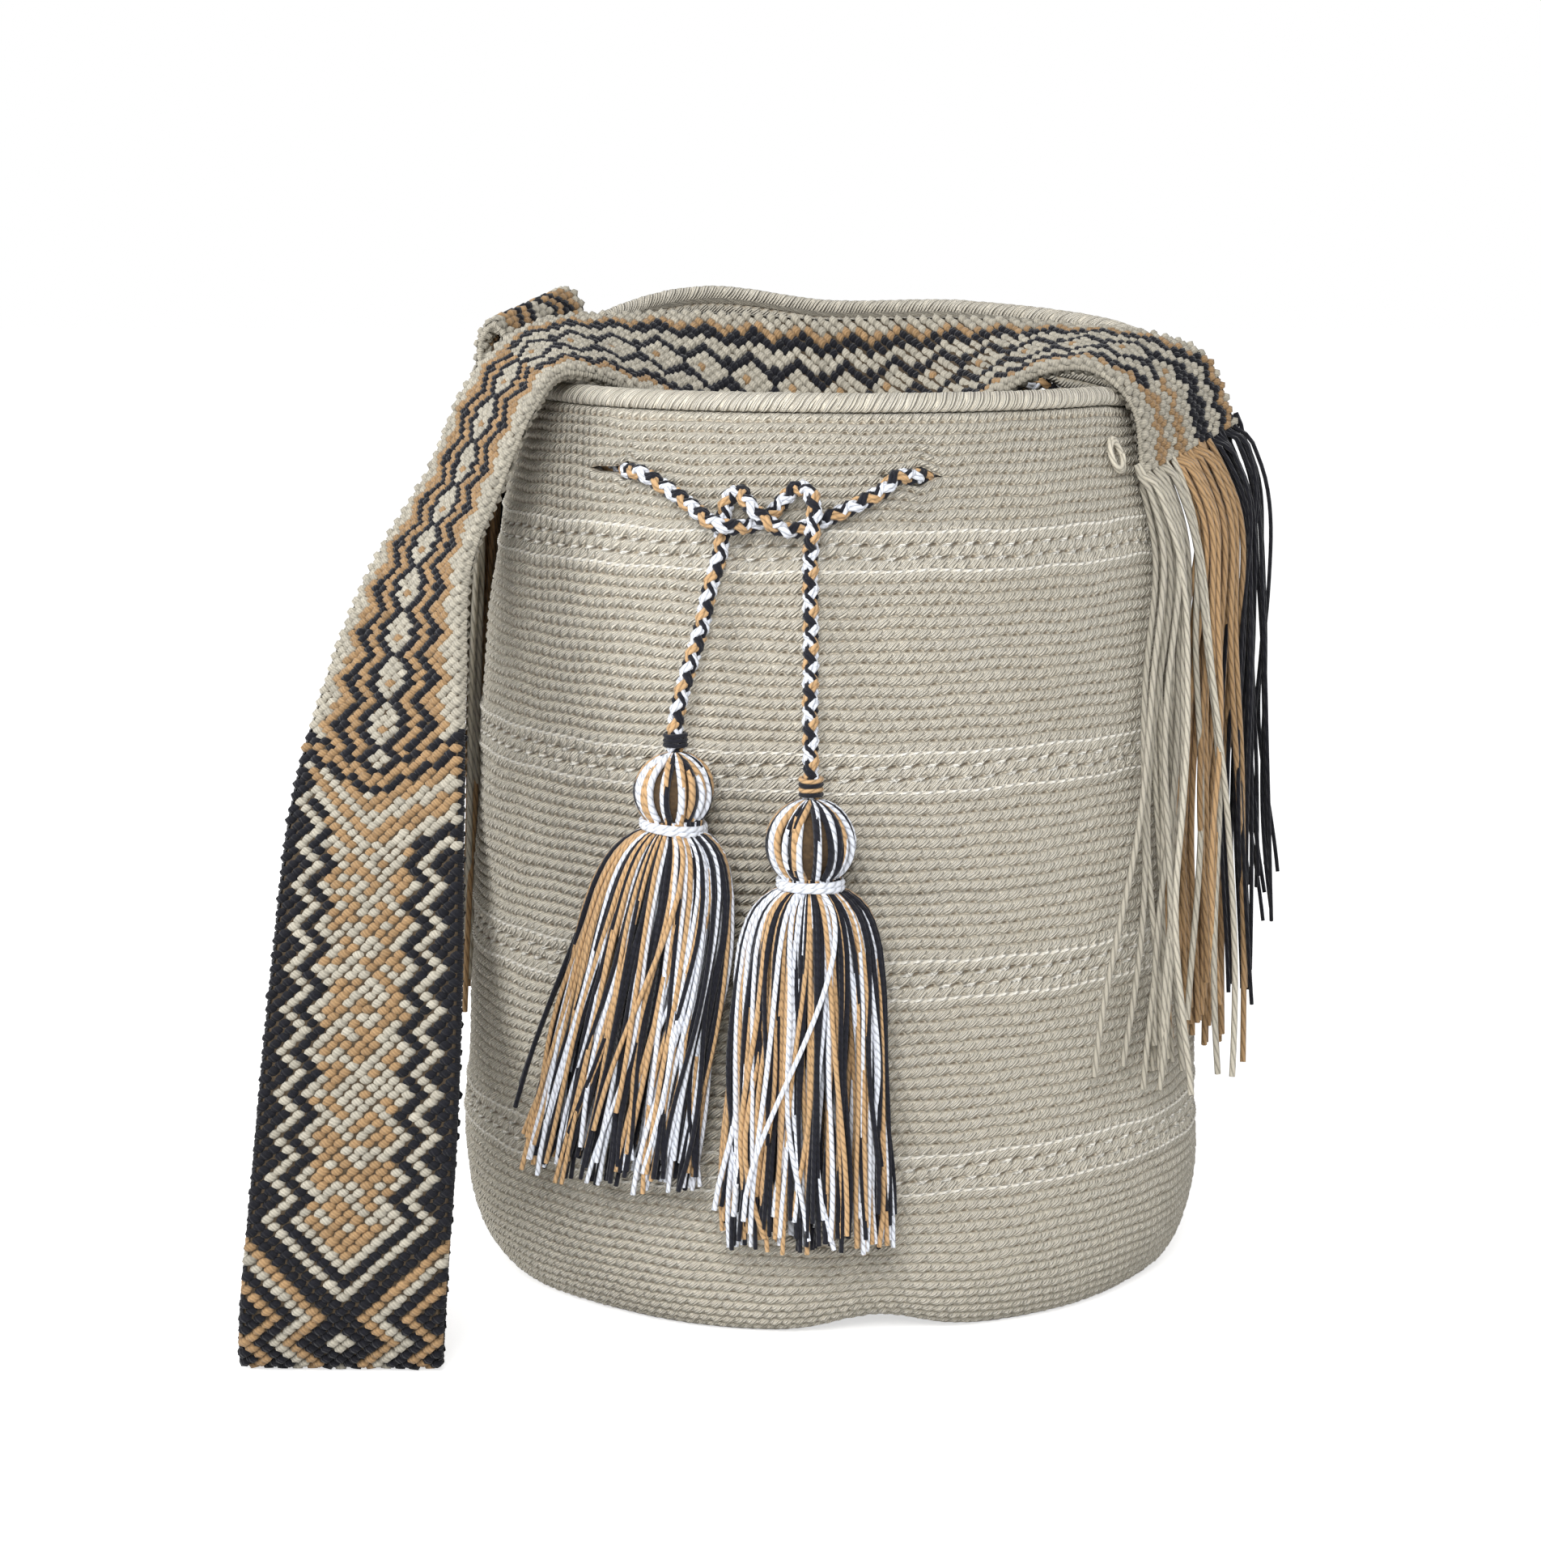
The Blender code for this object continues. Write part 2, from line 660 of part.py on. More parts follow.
def strap_path():
    """Centre, direction and width direction at even steps, closer where the strap bends."""
    edges = strap_edges()
    near = curve_through([pair[0] for pair in edges], 40)
    far = curve_through([pair[1] for pair in edges], 40)
    centres = [(low + high) / 2 for low, high in zip(near, far)]
    last = len(centres) - 1
    along = []
    for index in range(last + 1):
        step = centres[min(index + 1, last)] - centres[max(index - 1, 0)]
        along.append(step.normalized())
    weights = [0.0]
    for index in range(last):
        turn = along[index].angle(along[index + 1])
        weights.append(weights[-1] + (centres[index + 1] - centres[index]).length + BEND_WEIGHT * turn)
    frames = []
    for section in range(STRAP_SECTIONS):
        goal = weights[-1] * section / (STRAP_SECTIONS - 1)
        index = min(range(last + 1), key=lambda place: abs(weights[place] - goal))
        frames.append((centres[index], along[index], (far[index] - near[index]).normalized()))
    return frames


def strap():
    half = STRAP_WIDTH / 2
    points = []
    for section, (centre, along, across) in enumerate(strap_path()):
        face = across.cross(along).normalized()
        thick = STRAP_THICKNESS / 2 - KNOT_RELIEF * (section % 2)
        outline = [
            (half, 0.0),
            (half - thick, -thick),
            (-half + thick, -thick),
            (-half, 0.0),
            (-half + thick, thick),
            (half - thick, thick),
        ]
        points += [centre + across * x + face * y for x, y in outline]
    return add_mesh("strap", points, ring_faces(STRAP_SECTIONS, 6), "strap")


def bundle(name, colour, right_end, share, length, route):
    """A bundle of free yarn ends; route gives fall shares, angles and standoffs."""
    centre, along, across = strap_path()[0 if right_end else -1]
    face = across.cross(along).normalized()
    outwards, rightwards = (-along, across) if right_end else (along, -across)
    first = centre + across * STRAP_WIDTH * (share - 0.5) + outwards * GAP
    angle = math.degrees(math.atan2(first.x, -first.y))
    out = math.hypot(first.x, first.y) - row_radius(angle, wall_level(angle, first.z))
    stations = [Vector((angle, out / FRINGE_STEP, 0.0))]
    stations += [Vector((turn, off, fall * 100)) for fall, turn, off in route]
    centres = curve_through(stations, 2)
    sides = 8
    points = []
    for index, place in enumerate(centres):
        fall = place.z / 100
        swell = mix(0.8, 1.15, fall)
        for side in range(sides):
            turn = 2 * math.pi * side / sides
            ridge = 1.0 - STRAND_SHARE * (side % 2)
            x = BUNDLE_WIDTH * swell * ridge * math.cos(turn)
            y = BUNDLE_DEPTH * swell * ridge * math.sin(turn)
            ragged = 0.02 * (side % 2) if index == len(centres) - 1 else 0.0
            height = first.z - length * (fall - ragged)
            if index == 0:
                points.append(first + rightwards * x + face * y)
            else:
                points.append(hung(place.x, place.y * FRINGE_STEP, x, y, height))
    return add_mesh(name, points, ring_faces(len(centres), sides), colour)


# Fall share, angle, and how many times FRINGE_STEP off the wall
RIGHT_FRINGE = [
    ("cream", 0.06, 0.99, [(0.12, 67, 5.5), (0.35, 59, 5), (0.65, 54, 5), (1.0, 51, 5)]),
    ("cream", 0.24, 1.00, [(0.12, 73, 9), (0.35, 67, 6), (0.65, 63, 5), (1.0, 60, 5)]),
    ("tan", 0.42, 0.97, [(0.12, 79, 15), (0.35, 75, 9), (0.65, 72, 6), (1.0, 70, 5)]),
    ("tan", 0.60, 1.02, [(0.12, 84, 20), (0.35, 83, 15), (0.65, 82, 9), (1.0, 80, 6)]),
    ("black", 0.78, 0.96, [(0.12, 89, 25), (0.35, 90, 22), (0.65, 91, 16), (1.0, 90, 11)]),
    ("black", 0.95, 0.86, [(0.12, 93, 29), (0.35, 96, 29), (0.65, 99, 25), (1.0, 100, 25)]),
]
LEFT_FRINGE = [
    ("cream", 0.07, 0.94, [(0.08, -97, 13), (0.25, -96, 9), (0.6, -94, 7), (1.0, -93, 6)]),
    ("tan", 0.28, 1.00, [(0.08, -105, 11), (0.25, -104, 8), (0.6, -103, 6), (1.0, -103, 6)]),
    ("black", 0.50, 0.96, [(0.08, -112, 10), (0.25, -112, 8), (0.6, -112, 6), (1.0, -112, 6)]),
    ("tan", 0.72, 1.01, [(0.08, -120, 11), (0.25, -121, 8), (0.6, -122, 6), (1.0, -123, 6)]),
    ("black", 0.93, 0.90, [(0.08, -127, 13), (0.25, -129, 9), (0.6, -132, 7), (1.0, -134, 6)]),
]


def fringes():
    for index, (colour, share, length, route) in enumerate(RIGHT_FRINGE):
        name = "fringe_right_%d_%s" % (index + 1, colour)
        bundle(name, colour, True, share, length * FRINGE_LENGTH, route)
    for index, (colour, share, length, route) in enumerate(LEFT_FRINGE):
        name = "fringe_left_%d_%s" % (index + 1, colour)
        bundle(name, colour, False, share, length * FRINGE_LENGTH, route)


def tassels():
    tassel("tassel_left", LEFT_BALL, -31.5, 0.031)
    tassel("tassel_right", RIGHT_BALL, -4.0, 0.0255)
    for side, ball in (("left", LEFT_BALL), ("right", RIGHT_BALL)):
        neck = neck_height(ball)
        collar("neck_binding_" + side, ball, neck, neck, NECK_RADIUS + GAP, BINDING_RADIUS, "white")
        cord_end = ball_top(ball) + GAP
        whipping = cord_end + WHIPPING_HEIGHT / 2
        inner = CORD_DIAMETER / 2 + GAP
        collar("cord_whipping_" + side, ball, whipping, cord_end, inner, BINDING_RADIUS, "black")


clear_scene()
bag_body()
strap()
drawstring()
tassels()
fringes()
anchor_loop()
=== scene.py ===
import math

import bpy
import numpy as np
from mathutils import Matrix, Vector


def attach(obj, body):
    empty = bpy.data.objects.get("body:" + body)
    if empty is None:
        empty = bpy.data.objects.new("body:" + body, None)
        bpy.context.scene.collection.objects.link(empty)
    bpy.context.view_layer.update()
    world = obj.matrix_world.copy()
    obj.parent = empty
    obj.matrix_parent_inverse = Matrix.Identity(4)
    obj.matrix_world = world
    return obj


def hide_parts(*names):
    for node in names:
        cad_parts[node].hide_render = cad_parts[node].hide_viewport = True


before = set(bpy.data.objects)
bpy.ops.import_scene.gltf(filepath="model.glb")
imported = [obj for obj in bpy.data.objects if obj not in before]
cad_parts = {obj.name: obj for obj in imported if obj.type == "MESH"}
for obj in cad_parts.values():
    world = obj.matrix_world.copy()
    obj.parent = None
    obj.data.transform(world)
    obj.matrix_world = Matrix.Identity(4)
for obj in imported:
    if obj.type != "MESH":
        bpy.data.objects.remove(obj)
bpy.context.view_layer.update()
print("loaded the frame:", len(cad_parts), "nodes")


def link(made):
    bpy.context.scene.collection.objects.link(made)
    return made


# Node trees: a wire is one output socket, and arithmetic on it makes nodes
class Wire:
    def __init__(self, tree, socket):
        self.tree = tree
        self.socket = socket

    def math(self, operation, *others):
        values = dict(enumerate((self,) + others))
        return newWire(self.tree, "ShaderNodeMath", values, operation=operation)

    def __add__(self, other):
        return self.math("ADD", other)

    def __sub__(self, other):
        return self.math("SUBTRACT", other)

    def __mul__(self, other):
        return self.math("MULTIPLY", other)

    def __truediv__(self, other):
        return self.math("DIVIDE", other)

    def between(self, low, high):
        kind, values = "ShaderNodeMapRange", {"Value": self, "From Min": low, "From Max": high}
        return newWire(self.tree, kind, values, "Result", interpolation_type="SMOOTHSTEP")

    def flipped(self):
        return (self * -1.0) + 1.0


def feed(tree, value, socket):
    if isinstance(value, Wire):
        tree.links.new(value.socket, socket)
    else:
        socket.default_value = value


def newNode(tree, kind, values=(), **settings):
    node = tree.nodes.new(kind)
    for name, setting in settings.items():
        setattr(node, name, setting)
    for name, value in dict(values).items():
        feed(tree, value, node.inputs[name])
    return node


def newWire(tree, kind, values=(), output=0, **settings):
    return Wire(tree, newNode(tree, kind, values, **settings).outputs[output])


def newGroup(name, kind, inputs, outputs):
    # each socket is given by its kind, or by the number that it starts with
    tree = bpy.data.node_groups.new(name, kind)
    for way, sockets in (("INPUT", inputs), ("OUTPUT", outputs)):
        for label, value in sockets.items():
            number = "Int" if isinstance(value, int) else "Float"
            socketType = "NodeSocket" + (value if isinstance(value, str) else number)
            made = tree.interface.new_socket(label, in_out=way, socket_type=socketType)
            if not isinstance(value, str):
                made.default_value = value
    start = tree.nodes.new("NodeGroupInput")
    end = tree.nodes.new("NodeGroupOutput")
    return tree, {label: Wire(tree, start.outputs[label]) for label in inputs}, end


def finishShape(tree, last, material, end):
    soft = newWire(tree, "GeometryNodeSetShadeSmooth", {"Geometry": last})
    real = newWire(tree, "GeometryNodeRealizeInstances", {"Geometry": soft})
    paint = newWire(tree, "GeometryNodeSetMaterial", {"Geometry": real, "Material": material})
    feed(tree, paint, end.inputs[0])
    return tree


def writeAttribute(mesh, name, dataType, values):
    member = {"FLOAT": "value", "FLOAT_VECTOR": "vector", "FLOAT_COLOR": "color"}[dataType]
    made = mesh.attributes.new(name, dataType, "POINT")
    made.data.foreach_set(member, np.array(values, "f").ravel())


def runTree(piece, tree, values):
    modifier = piece.modifiers.new("shape", "NODES")
    modifier.node_group = tree
    for item in tree.interface.items_tree:
        if item.item_type == "SOCKET" and item.in_out == "INPUT" and item.name in values:
            modifier[item.identifier] = values[item.name]
    graph = bpy.context.evaluated_depsgraph_get()
    result = bpy.data.meshes.new_from_object(
        piece.evaluated_get(graph), preserve_all_data_layers=True, depsgraph=graph
    )
    piece.modifiers.clear()
    result.name = piece.name
    piece.data = result
    return piece


def readAttribute(tree, name, dataType="FLOAT"):
    kind = "GeometryNodeInputNamedAttribute"
    return newWire(tree, kind, {"Name": name}, "Attribute", data_type=dataType)


def shaderAttribute(tree, name, output="Fac"):
    return newWire(tree, "ShaderNodeAttribute", (), output, attribute_name=name)


def parts(tree, vector):
    node = newNode(tree, "ShaderNodeSeparateXYZ", {0: vector})
    return [Wire(tree, node.outputs[axis]) for axis in "XYZ"]


def colourBetween(tree, share, low, high, **settings):
    values = {0: share, 6: low, 7: high}
    return newWire(tree, "ShaderNodeMix", values, 2, data_type="RGBA", **settings)


def noiseAt(tree, scale, detail, vector=None):
    vector = vector or newWire(tree, "ShaderNodeTexCoord", (), "Object")
    return newWire(tree, "ShaderNodeTexNoise", {"Vector": vector, "Scale": scale, "Detail": detail})


def newMaterial(name, roughness, sheen):
    made = bpy.data.materials.new(name)
    made.use_nodes = True
    shader = made.node_tree.nodes["Principled BSDF"]
    shader.inputs["Roughness"].default_value = roughness
    shader.inputs["Specular IOR Level"].default_value = 0.25
    shader.inputs["Sheen Weight"].default_value = sheen
    shader.inputs["Sheen Roughness"].default_value = 0.5
    return made, made.node_tree, shader


def addBump(tree, shader, height, distance):
    bump = newWire(tree, "ShaderNodeBump", {"Distance": distance, "Strength": 1.0, "Height": height})
    feed(tree, bump, shader.inputs["Normal"])


def tintBase(tree, shader, shade):
    # the yarn's own colour, multiplied by painted shade: darker in its ply grooves and at the knots' rims
    tint = shaderAttribute(tree, "tint", "Color")
    colour = colourBetween(tree, 1.0, tint, shade, blend_type="MULTIPLY")
    feed(tree, colour, shader.inputs["Base Color"])


def paintedShadeMaterial(name, scale, dark, pale, relief):
    # a dark mottled colour standing in for the shade inside a filling, with a little bump
    made, tree, shader = newMaterial(name, 0.95, 0.0)
    fibre = noiseAt(tree, scale, 3.0)
    colour = colourBetween(tree, fibre, dark, pale)
    feed(tree, colour, shader.inputs["Base Color"])
    addBump(tree, shader, fibre, relief)
    return made


def ringedMesh(name, points, sides, way, paint):
    # rings of points with faces between them and at both ends; way is -1 to turn the faces over
    last = len(points) - sides
    faces = [tuple(range(sides))[::-way], tuple(range(last, len(points)))[::way]]
    for ring in range(0, last, sides):
        for side in range(sides):
            low, high = ring + side, ring + (side + 1) % sides
            faces.append((low, high, high + sides, low + sides)[::way])
    mesh = bpy.data.meshes.new(name)
    mesh.from_pydata([tuple(point) for point in points], [], faces)
    mesh.materials.append(paint)
    return mesh


# Camera, floor and lamps. Lengths are metres, angles degrees.
studio = {
    "cameraPlace": (-0.020, -1.25, 0.363),
    "cameraPitch": 9.55,
    "lens": 88.97,
    "floorSize": 6.0,
    "floorColour": (0.80, 0.80, 0.80, 1.0),
    "floorGlow": 0.62,
    "worldLevel": 0.60,
    "keyPlace": (-0.22, -1.70, 1.10),
    "keySize": 0.9,
    "keyPower": 26.0,
    "leftPlace": (-1.50, -0.60, 0.80),
    "leftSize": 1.2,
    "leftPower": 16.0,
    "fillPlace": (1.5, -0.9, 0.9),
    "fillSize": 1.4,
    "fillPower": 2.0,
    "lampAim": 0.14,
}


def makeCamera():
    data = bpy.data.cameras.new("view")
    data.lens = studio["lens"]
    data.sensor_width = 36.0
    data.clip_start = 0.05
    data.clip_end = 50.0
    camera = link(bpy.data.objects.new("view", data))
    camera.location = studio["cameraPlace"]
    camera.rotation_euler = (math.radians(90.0 - studio["cameraPitch"]), 0.0, 0.0)
    bpy.context.scene.camera = camera


def makeLamp(name):
    place = Vector(studio[name + "Place"])
    data = bpy.data.lights.new(name, "AREA")
    data.shape = "DISK"
    data.size = studio[name + "Size"]
    data.energy = studio[name + "Power"]
    lamp = link(bpy.data.objects.new(name, data))
    lamp.location = place
    aim = Vector((0.0, 0.0, studio["lampAim"])) - place
    lamp.rotation_euler = aim.to_track_quat("-Z", "Y").to_euler()


def makeWorld():
    bpy.context.scene.view_settings.view_transform = "Standard"
    world = bpy.data.worlds.new("studio")
    bpy.context.scene.world = world
    world.use_nodes = True
    tree = world.node_tree
    around = tree.nodes["Background"]
    backdrop = tree.nodes.new("ShaderNodeBackground")
    for node, level in ((around, studio["worldLevel"]), (backdrop, 1.0)):
        node.inputs["Color"].default_value = (1.0, 1.0, 1.0, 1.0)
        node.inputs["Strength"].default_value = level
    ray = newNode(tree, "ShaderNodeLightPath")
    seen = Wire(tree, ray.outputs["Is Camera Ray"])
    for kind in ("Is Glossy Ray", "Is Transmission Ray"):
        seen = seen.math("MAXIMUM", Wire(tree, ray.outputs[kind]))
    lights = {0: seen, 1: Wire(tree, around.outputs[0]), 2: Wire(tree, backdrop.outputs[0])}
    blend = newWire(tree, "ShaderNodeMixShader", lights)
    feed(tree, blend, tree.nodes["World Output"].inputs["Surface"])


def makeFloor():
    half = studio["floorSize"]
    mesh = bpy.data.meshes.new("floor")
    corners = [(-half, -half, 0.0), (half, -half, 0.0), (half, half, 0.0), (-half, half, 0.0)]
    mesh.from_pydata(corners, [], [(0, 1, 2, 3)])
    floor = link(bpy.data.objects.new("floor", mesh))
    paint = bpy.data.materials.new("pale_floor")
    paint.use_nodes = True
    tree = paint.node_tree
    shader = tree.nodes["Principled BSDF"]
    shader.inputs["Base Color"].default_value = studio["floorColour"]
    shader.inputs["Roughness"].default_value = 0.9
    shader.inputs["Specular IOR Level"].default_value = 0.0
    shader.inputs["Emission Color"].default_value = (1.0, 1.0, 1.0, 1.0)
    glow = newWire(tree, "ShaderNodeLightPath", (), "Is Camera Ray") * studio["floorGlow"]
    feed(tree, glow, shader.inputs["Emission Strength"])
    mesh.materials.append(paint)


makeCamera()
makeWorld()
for lampName in ("key", "left", "fill"):
    makeLamp(lampName)
makeFloor()
print("made the camera, floor and lamps")


# The bag's own shape, in the same numbers as its solids
bag = {
    "frontHeight": 0.286,
    "baseRadius": 0.105,
    "bellyRadius": 0.1207,
    "bellyHeight": 0.040,
    "upperRadius": 0.1085,
    "shoulderHeight": 0.160,
    "mouthRadius": 0.090,
    "wall": 0.0040,
    "flatRadius": 0.086,
    "pleatAngle": 7.0,
    "pleatSpread": 10.0,
    "pleatLift": 0.0045,
    "pleatDepth": 0.006,
}

# angle, share of the mouth's radius, lift
mouthOutline = np.array([
    (0, 1.00, 0.000),
    (60, 1.03, -0.001),
    (85, 1.09, -0.002),
    (115, 1.25, 0.013),
    (150, 1.09, 0.020),
    (180, 1.01, 0.020),
    (207, 1.06, 0.025),
    (232, 1.07, 0.018),
    (265, 1.065, 0.001),
    (298, 1.045, 0.000),
])


def smooth(share):
    share = np.clip(share, 0.0, 1.0)
    return share * share * (3.0 - 2.0 * share)


def mix(low, high, share):
    return low + (high - low) * share


def aroundMouth(angle, column):
    angle = np.mod(angle, 360.0)
    count = len(mouthOutline)
    place = np.searchsorted(mouthOutline[:, 0], angle, side="right") - 1

    def knot(step):
        turns, index = np.divmod(place + step, count)
        return mouthOutline[index, 0] + 360.0 * turns, mouthOutline[index, column]

    (x0, y0), (x1, y1), (x2, y2), (x3, y3) = (knot(step) for step in (-1, 0, 1, 2))
    span = x2 - x1
    t = (angle - x1) / span
    slope1 = (y2 - y0) / (x2 - x0) * span
    slope2 = (y3 - y1) / (x3 - x1) * span
    start = (2 * t**3 - 3 * t**2 + 1) * y1 + (t**3 - 2 * t**2 + t) * slope1
    return start + (3 * t**2 - 2 * t**3) * y2 + (t**3 - t**2) * slope2


def mouthRadiusAt(angle):
    return bag["mouthRadius"] * aroundMouth(angle, 1)


def mouthHeightAt(angle):
    return bag["frontHeight"] + aroundMouth(angle, 2)


def pleat(angle):
    offset = np.mod(angle - bag["pleatAngle"] + 180.0, 360.0) - 180.0
    return np.exp(-((offset / bag["pleatSpread"]) ** 2))


def wallHeight(angle, level):
    low, high = bag["shoulderHeight"], bag["frontHeight"]
    rise = smooth((level - low) / (high - low))
    under = np.maximum(0.0, 1.0 - level / bag["bellyHeight"]) ** 2
    return level + aroundMouth(angle, 2) * rise + bag["pleatLift"] * pleat(angle) * under


def wallLevel(angle, height):
    level = height
    for _ in range(12):
        level = level + height - wallHeight(angle, level)
    return np.minimum(level, bag["frontHeight"])


def rowRadius(angle, level):
    share = np.clip(1.0 - level / bag["bellyHeight"], 0.0, 1.0)
    edge = bag["baseRadius"] - bag["pleatDepth"] * pleat(angle)
    low = mix(edge, bag["bellyRadius"], np.sqrt(1.0 - share**2))
    rise = (level - bag["bellyHeight"]) / (bag["frontHeight"] - bag["bellyHeight"])
    high = mix(bag["bellyRadius"], bag["upperRadius"], rise)
    top = (level - bag["shoulderHeight"]) / (bag["frontHeight"] - bag["shoulderHeight"])
    high = mix(high, mouthRadiusAt(angle), np.maximum(0.0, top) ** 3)
    return np.where(level < bag["bellyHeight"], low, high)


def polar(angle, radius, height):
    turn = np.radians(angle)
    return np.stack(np.broadcast_arrays(radius * np.sin(turn), -radius * np.cos(turn), height), -1)


def byWall(angle, out, height):
    return Vector(polar(angle, rowRadius(angle, wallLevel(angle, height)) + out, height))


def onWall(angle, out, up):
    return byWall(angle, out, bag["frontHeight"] + up)


def byMouth(angle, out, up):
    return Vector(polar(angle, mouthRadiusAt(angle) + out, mouthHeightAt(angle) + up))


def inMouth(across, back, up):
    return Vector((across * bag["mouthRadius"], back * bag["mouthRadius"], bag["frontHeight"] + up))


def byFloor(across, back, share):
    return Vector((across * bag["bellyRadius"], back * bag["bellyRadius"], share * bag["frontHeight"]))


def hung(angle, out, across, deep, height):
    reach = float(rowRadius(angle, wallLevel(angle, height))) + out
    return Vector(polar(angle + math.degrees(across / reach), reach + deep, height))


def bend(p0, p1, p2, p3, share):
    t1 = (p1 - p0).length ** 0.5
    t2 = t1 + (p2 - p1).length ** 0.5
    t3 = t2 + (p3 - p2).length ** 0.5
    t = mix(t1, t2, share)
    a1 = p0 * ((t1 - t) / t1) + p1 * (t / t1)
    a2 = p1 * ((t2 - t) / (t2 - t1)) + p2 * ((t - t1) / (t2 - t1))
    a3 = p2 * ((t3 - t) / (t3 - t2)) + p3 * ((t - t2) / (t3 - t2))
    b1 = a1 * ((t2 - t) / t2) + a2 * (t / t2)
    b2 = a2 * ((t3 - t) / (t3 - t1)) + a3 * ((t - t1) / (t3 - t1))
    return b1 * ((t2 - t) / (t2 - t1)) + b2 * ((t - t1) / (t2 - t1))


def curveThrough(points, perSpan):
    ends = [points[0] * 2 - points[1]] + list(points) + [points[-1] * 2 - points[-2]]
    made = []
    for index in range(len(points) - 1):
        p0, p1, p2, p3 = ends[index:index + 4]
        made += [bend(p0, p1, p2, p3, step / perSpan) for step in range(perSpan)]
    made.append(points[-1].copy())
    return made


def runLength(points):
    return np.concatenate(([0.0], np.cumsum(np.linalg.norm(np.diff(points, axis=0), axis=1))))


def unit(vectors):
    return vectors / np.linalg.norm(vectors, axis=1)[:, None]


def evenly(points, step):
    points = np.array([tuple(point) for point in points])
    reach = runLength(points)
    count = max(2, int(round(reach[-1] / step)) + 1)
    goal = np.linspace(0.0, reach[-1], count)
    spread = [np.interp(goal, reach, points[:, axis]) for axis in range(3)]
    return np.stack(spread, -1), goal


def place(piece, nodes, slot):
    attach(piece, "root")
    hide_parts(*nodes)


# Yarns: colours are linear
yarnTones = {
    "cream": (0.66, 0.61, 0.50),
    "tan": (0.53, 0.335, 0.168),
    "black": (0.0078, 0.0083, 0.0145),
    "white": (0.74, 0.77, 0.84),
}


def makePlyGroup():
    inputs = {"Around": "Vector", "Along": 0.0, "Plies": 2.0, "Pitch": 0.004}
    outputs = {"Height": 0.0, "Shade": 0.0}
    tree, given, end = newGroup("yarnPly", "ShaderNodeTree", inputs, outputs)
    x, y, _ = parts(tree, given["Around"])
    turn = y.math("ARCTAN2", x)
    phase = turn * given["Plies"] + given["Along"] / given["Pitch"] * (2 * math.pi)
    ridge = (phase.math("COSINE") * 0.5 + 0.5).math("SQRT")
    fibre = noiseAt(tree, 1600.0, 2.0)
    feed(tree, ridge + fibre * 0.5, end.inputs["Height"])
    # painted shade: the yarn is darker in the grooves between its plies; the fibre noise is the yarn's own
    # tone
    feed(tree, ridge.between(0.0, 0.8) * 0.45 + 0.45 + fibre * 0.2, end.inputs["Shade"])
    return tree


plyGroup = makePlyGroup()


def yarnMaterial(name, plies, pitch, relief):
    made, tree, shader = newMaterial(name, 0.85, 0.15)
    values = {
        "Around": shaderAttribute(tree, "around", "Vector"),
        "Along": shaderAttribute(tree, "along"),
        "Plies": plies,
        "Pitch": pitch,
    }
    group = newNode(tree, "ShaderNodeGroup", values, node_tree=plyGroup)
    tintBase(tree, shader, Wire(tree, group.outputs["Shade"]))
    addBump(tree, shader, Wire(tree, group.outputs["Height"]), relief)
    return made


def makeYarnTree():
    inputs = {"Geometry": "Geometry", "Sides": 5, "Material": "Material"}
    tree, given, end = newGroup("yarnTube", "GeometryNodeTree", inputs, {"Geometry": "Geometry"})
    curve = newWire(tree, "GeometryNodeMeshToCurve", {"Mesh": given["Geometry"]})
    reach = newWire(tree, "GeometryNodeSplineParameter", (), "Length")
    store = "GeometryNodeStoreNamedAttribute"
    along = newWire(tree, store, {"Name": "along", "Geometry": curve, "Value": reach})
    circle = {"Resolution": given["Sides"], "Radius": 1.0}
    circle = newWire(tree, "GeometryNodeCurvePrimitiveCircle", circle)
    around = {"Name": "around", "Geometry": circle, "Value": newWire(tree, "GeometryNodeInputPosition")}
    around = newWire(tree, store, around, data_type="FLOAT_VECTOR")
    tube = newWire(tree, "GeometryNodeCurveToMesh", {
        "Curve": along,
        "Profile Curve": around,
        "Scale": readAttribute(tree, "thick"),
        "Fill Caps": True,
    })
    return finishShape(tree, tube, given["Material"], end)


yarnTree = makeYarnTree()


def yarnPiece(name, strands, material, sides=5):
    points, edges, thick, tint = [], [], [], []
    for line, radius, colour in strands:
        first = len(points)
        points += [tuple(point) for point in line]
        edges += [(first + step, first + step + 1) for step in range(len(line) - 1)]
        thick += list(np.broadcast_to(radius, len(line)))
        tint += [(*colour, 1.0)] * len(line)
    mesh = bpy.data.meshes.new(name)
    mesh.from_pydata(points, edges, [])
    writeAttribute(mesh, "thick", "FLOAT", thick)
    writeAttribute(mesh, "tint", "FLOAT_COLOR", tint)
    piece = link(bpy.data.objects.new(name, mesh))
    return runTree(piece, yarnTree, {"Sides": sides, "Material": material})


def framesAlong(points):
    along = unit(np.gradient(points, axis=0))
    side = np.cross(along[0], (0.0, 0.0, 1.0))
    if np.linalg.norm(side) < 0.1:
        side = np.cross(along[0], (0.0, 1.0, 0.0))
    sides = []
    for way in along:
        side = side - way * np.dot(side, way)
        side /= np.linalg.norm(side)
        sides.append(side.copy())
    sides = np.array(sides)
    return sides, np.cross(along, sides)


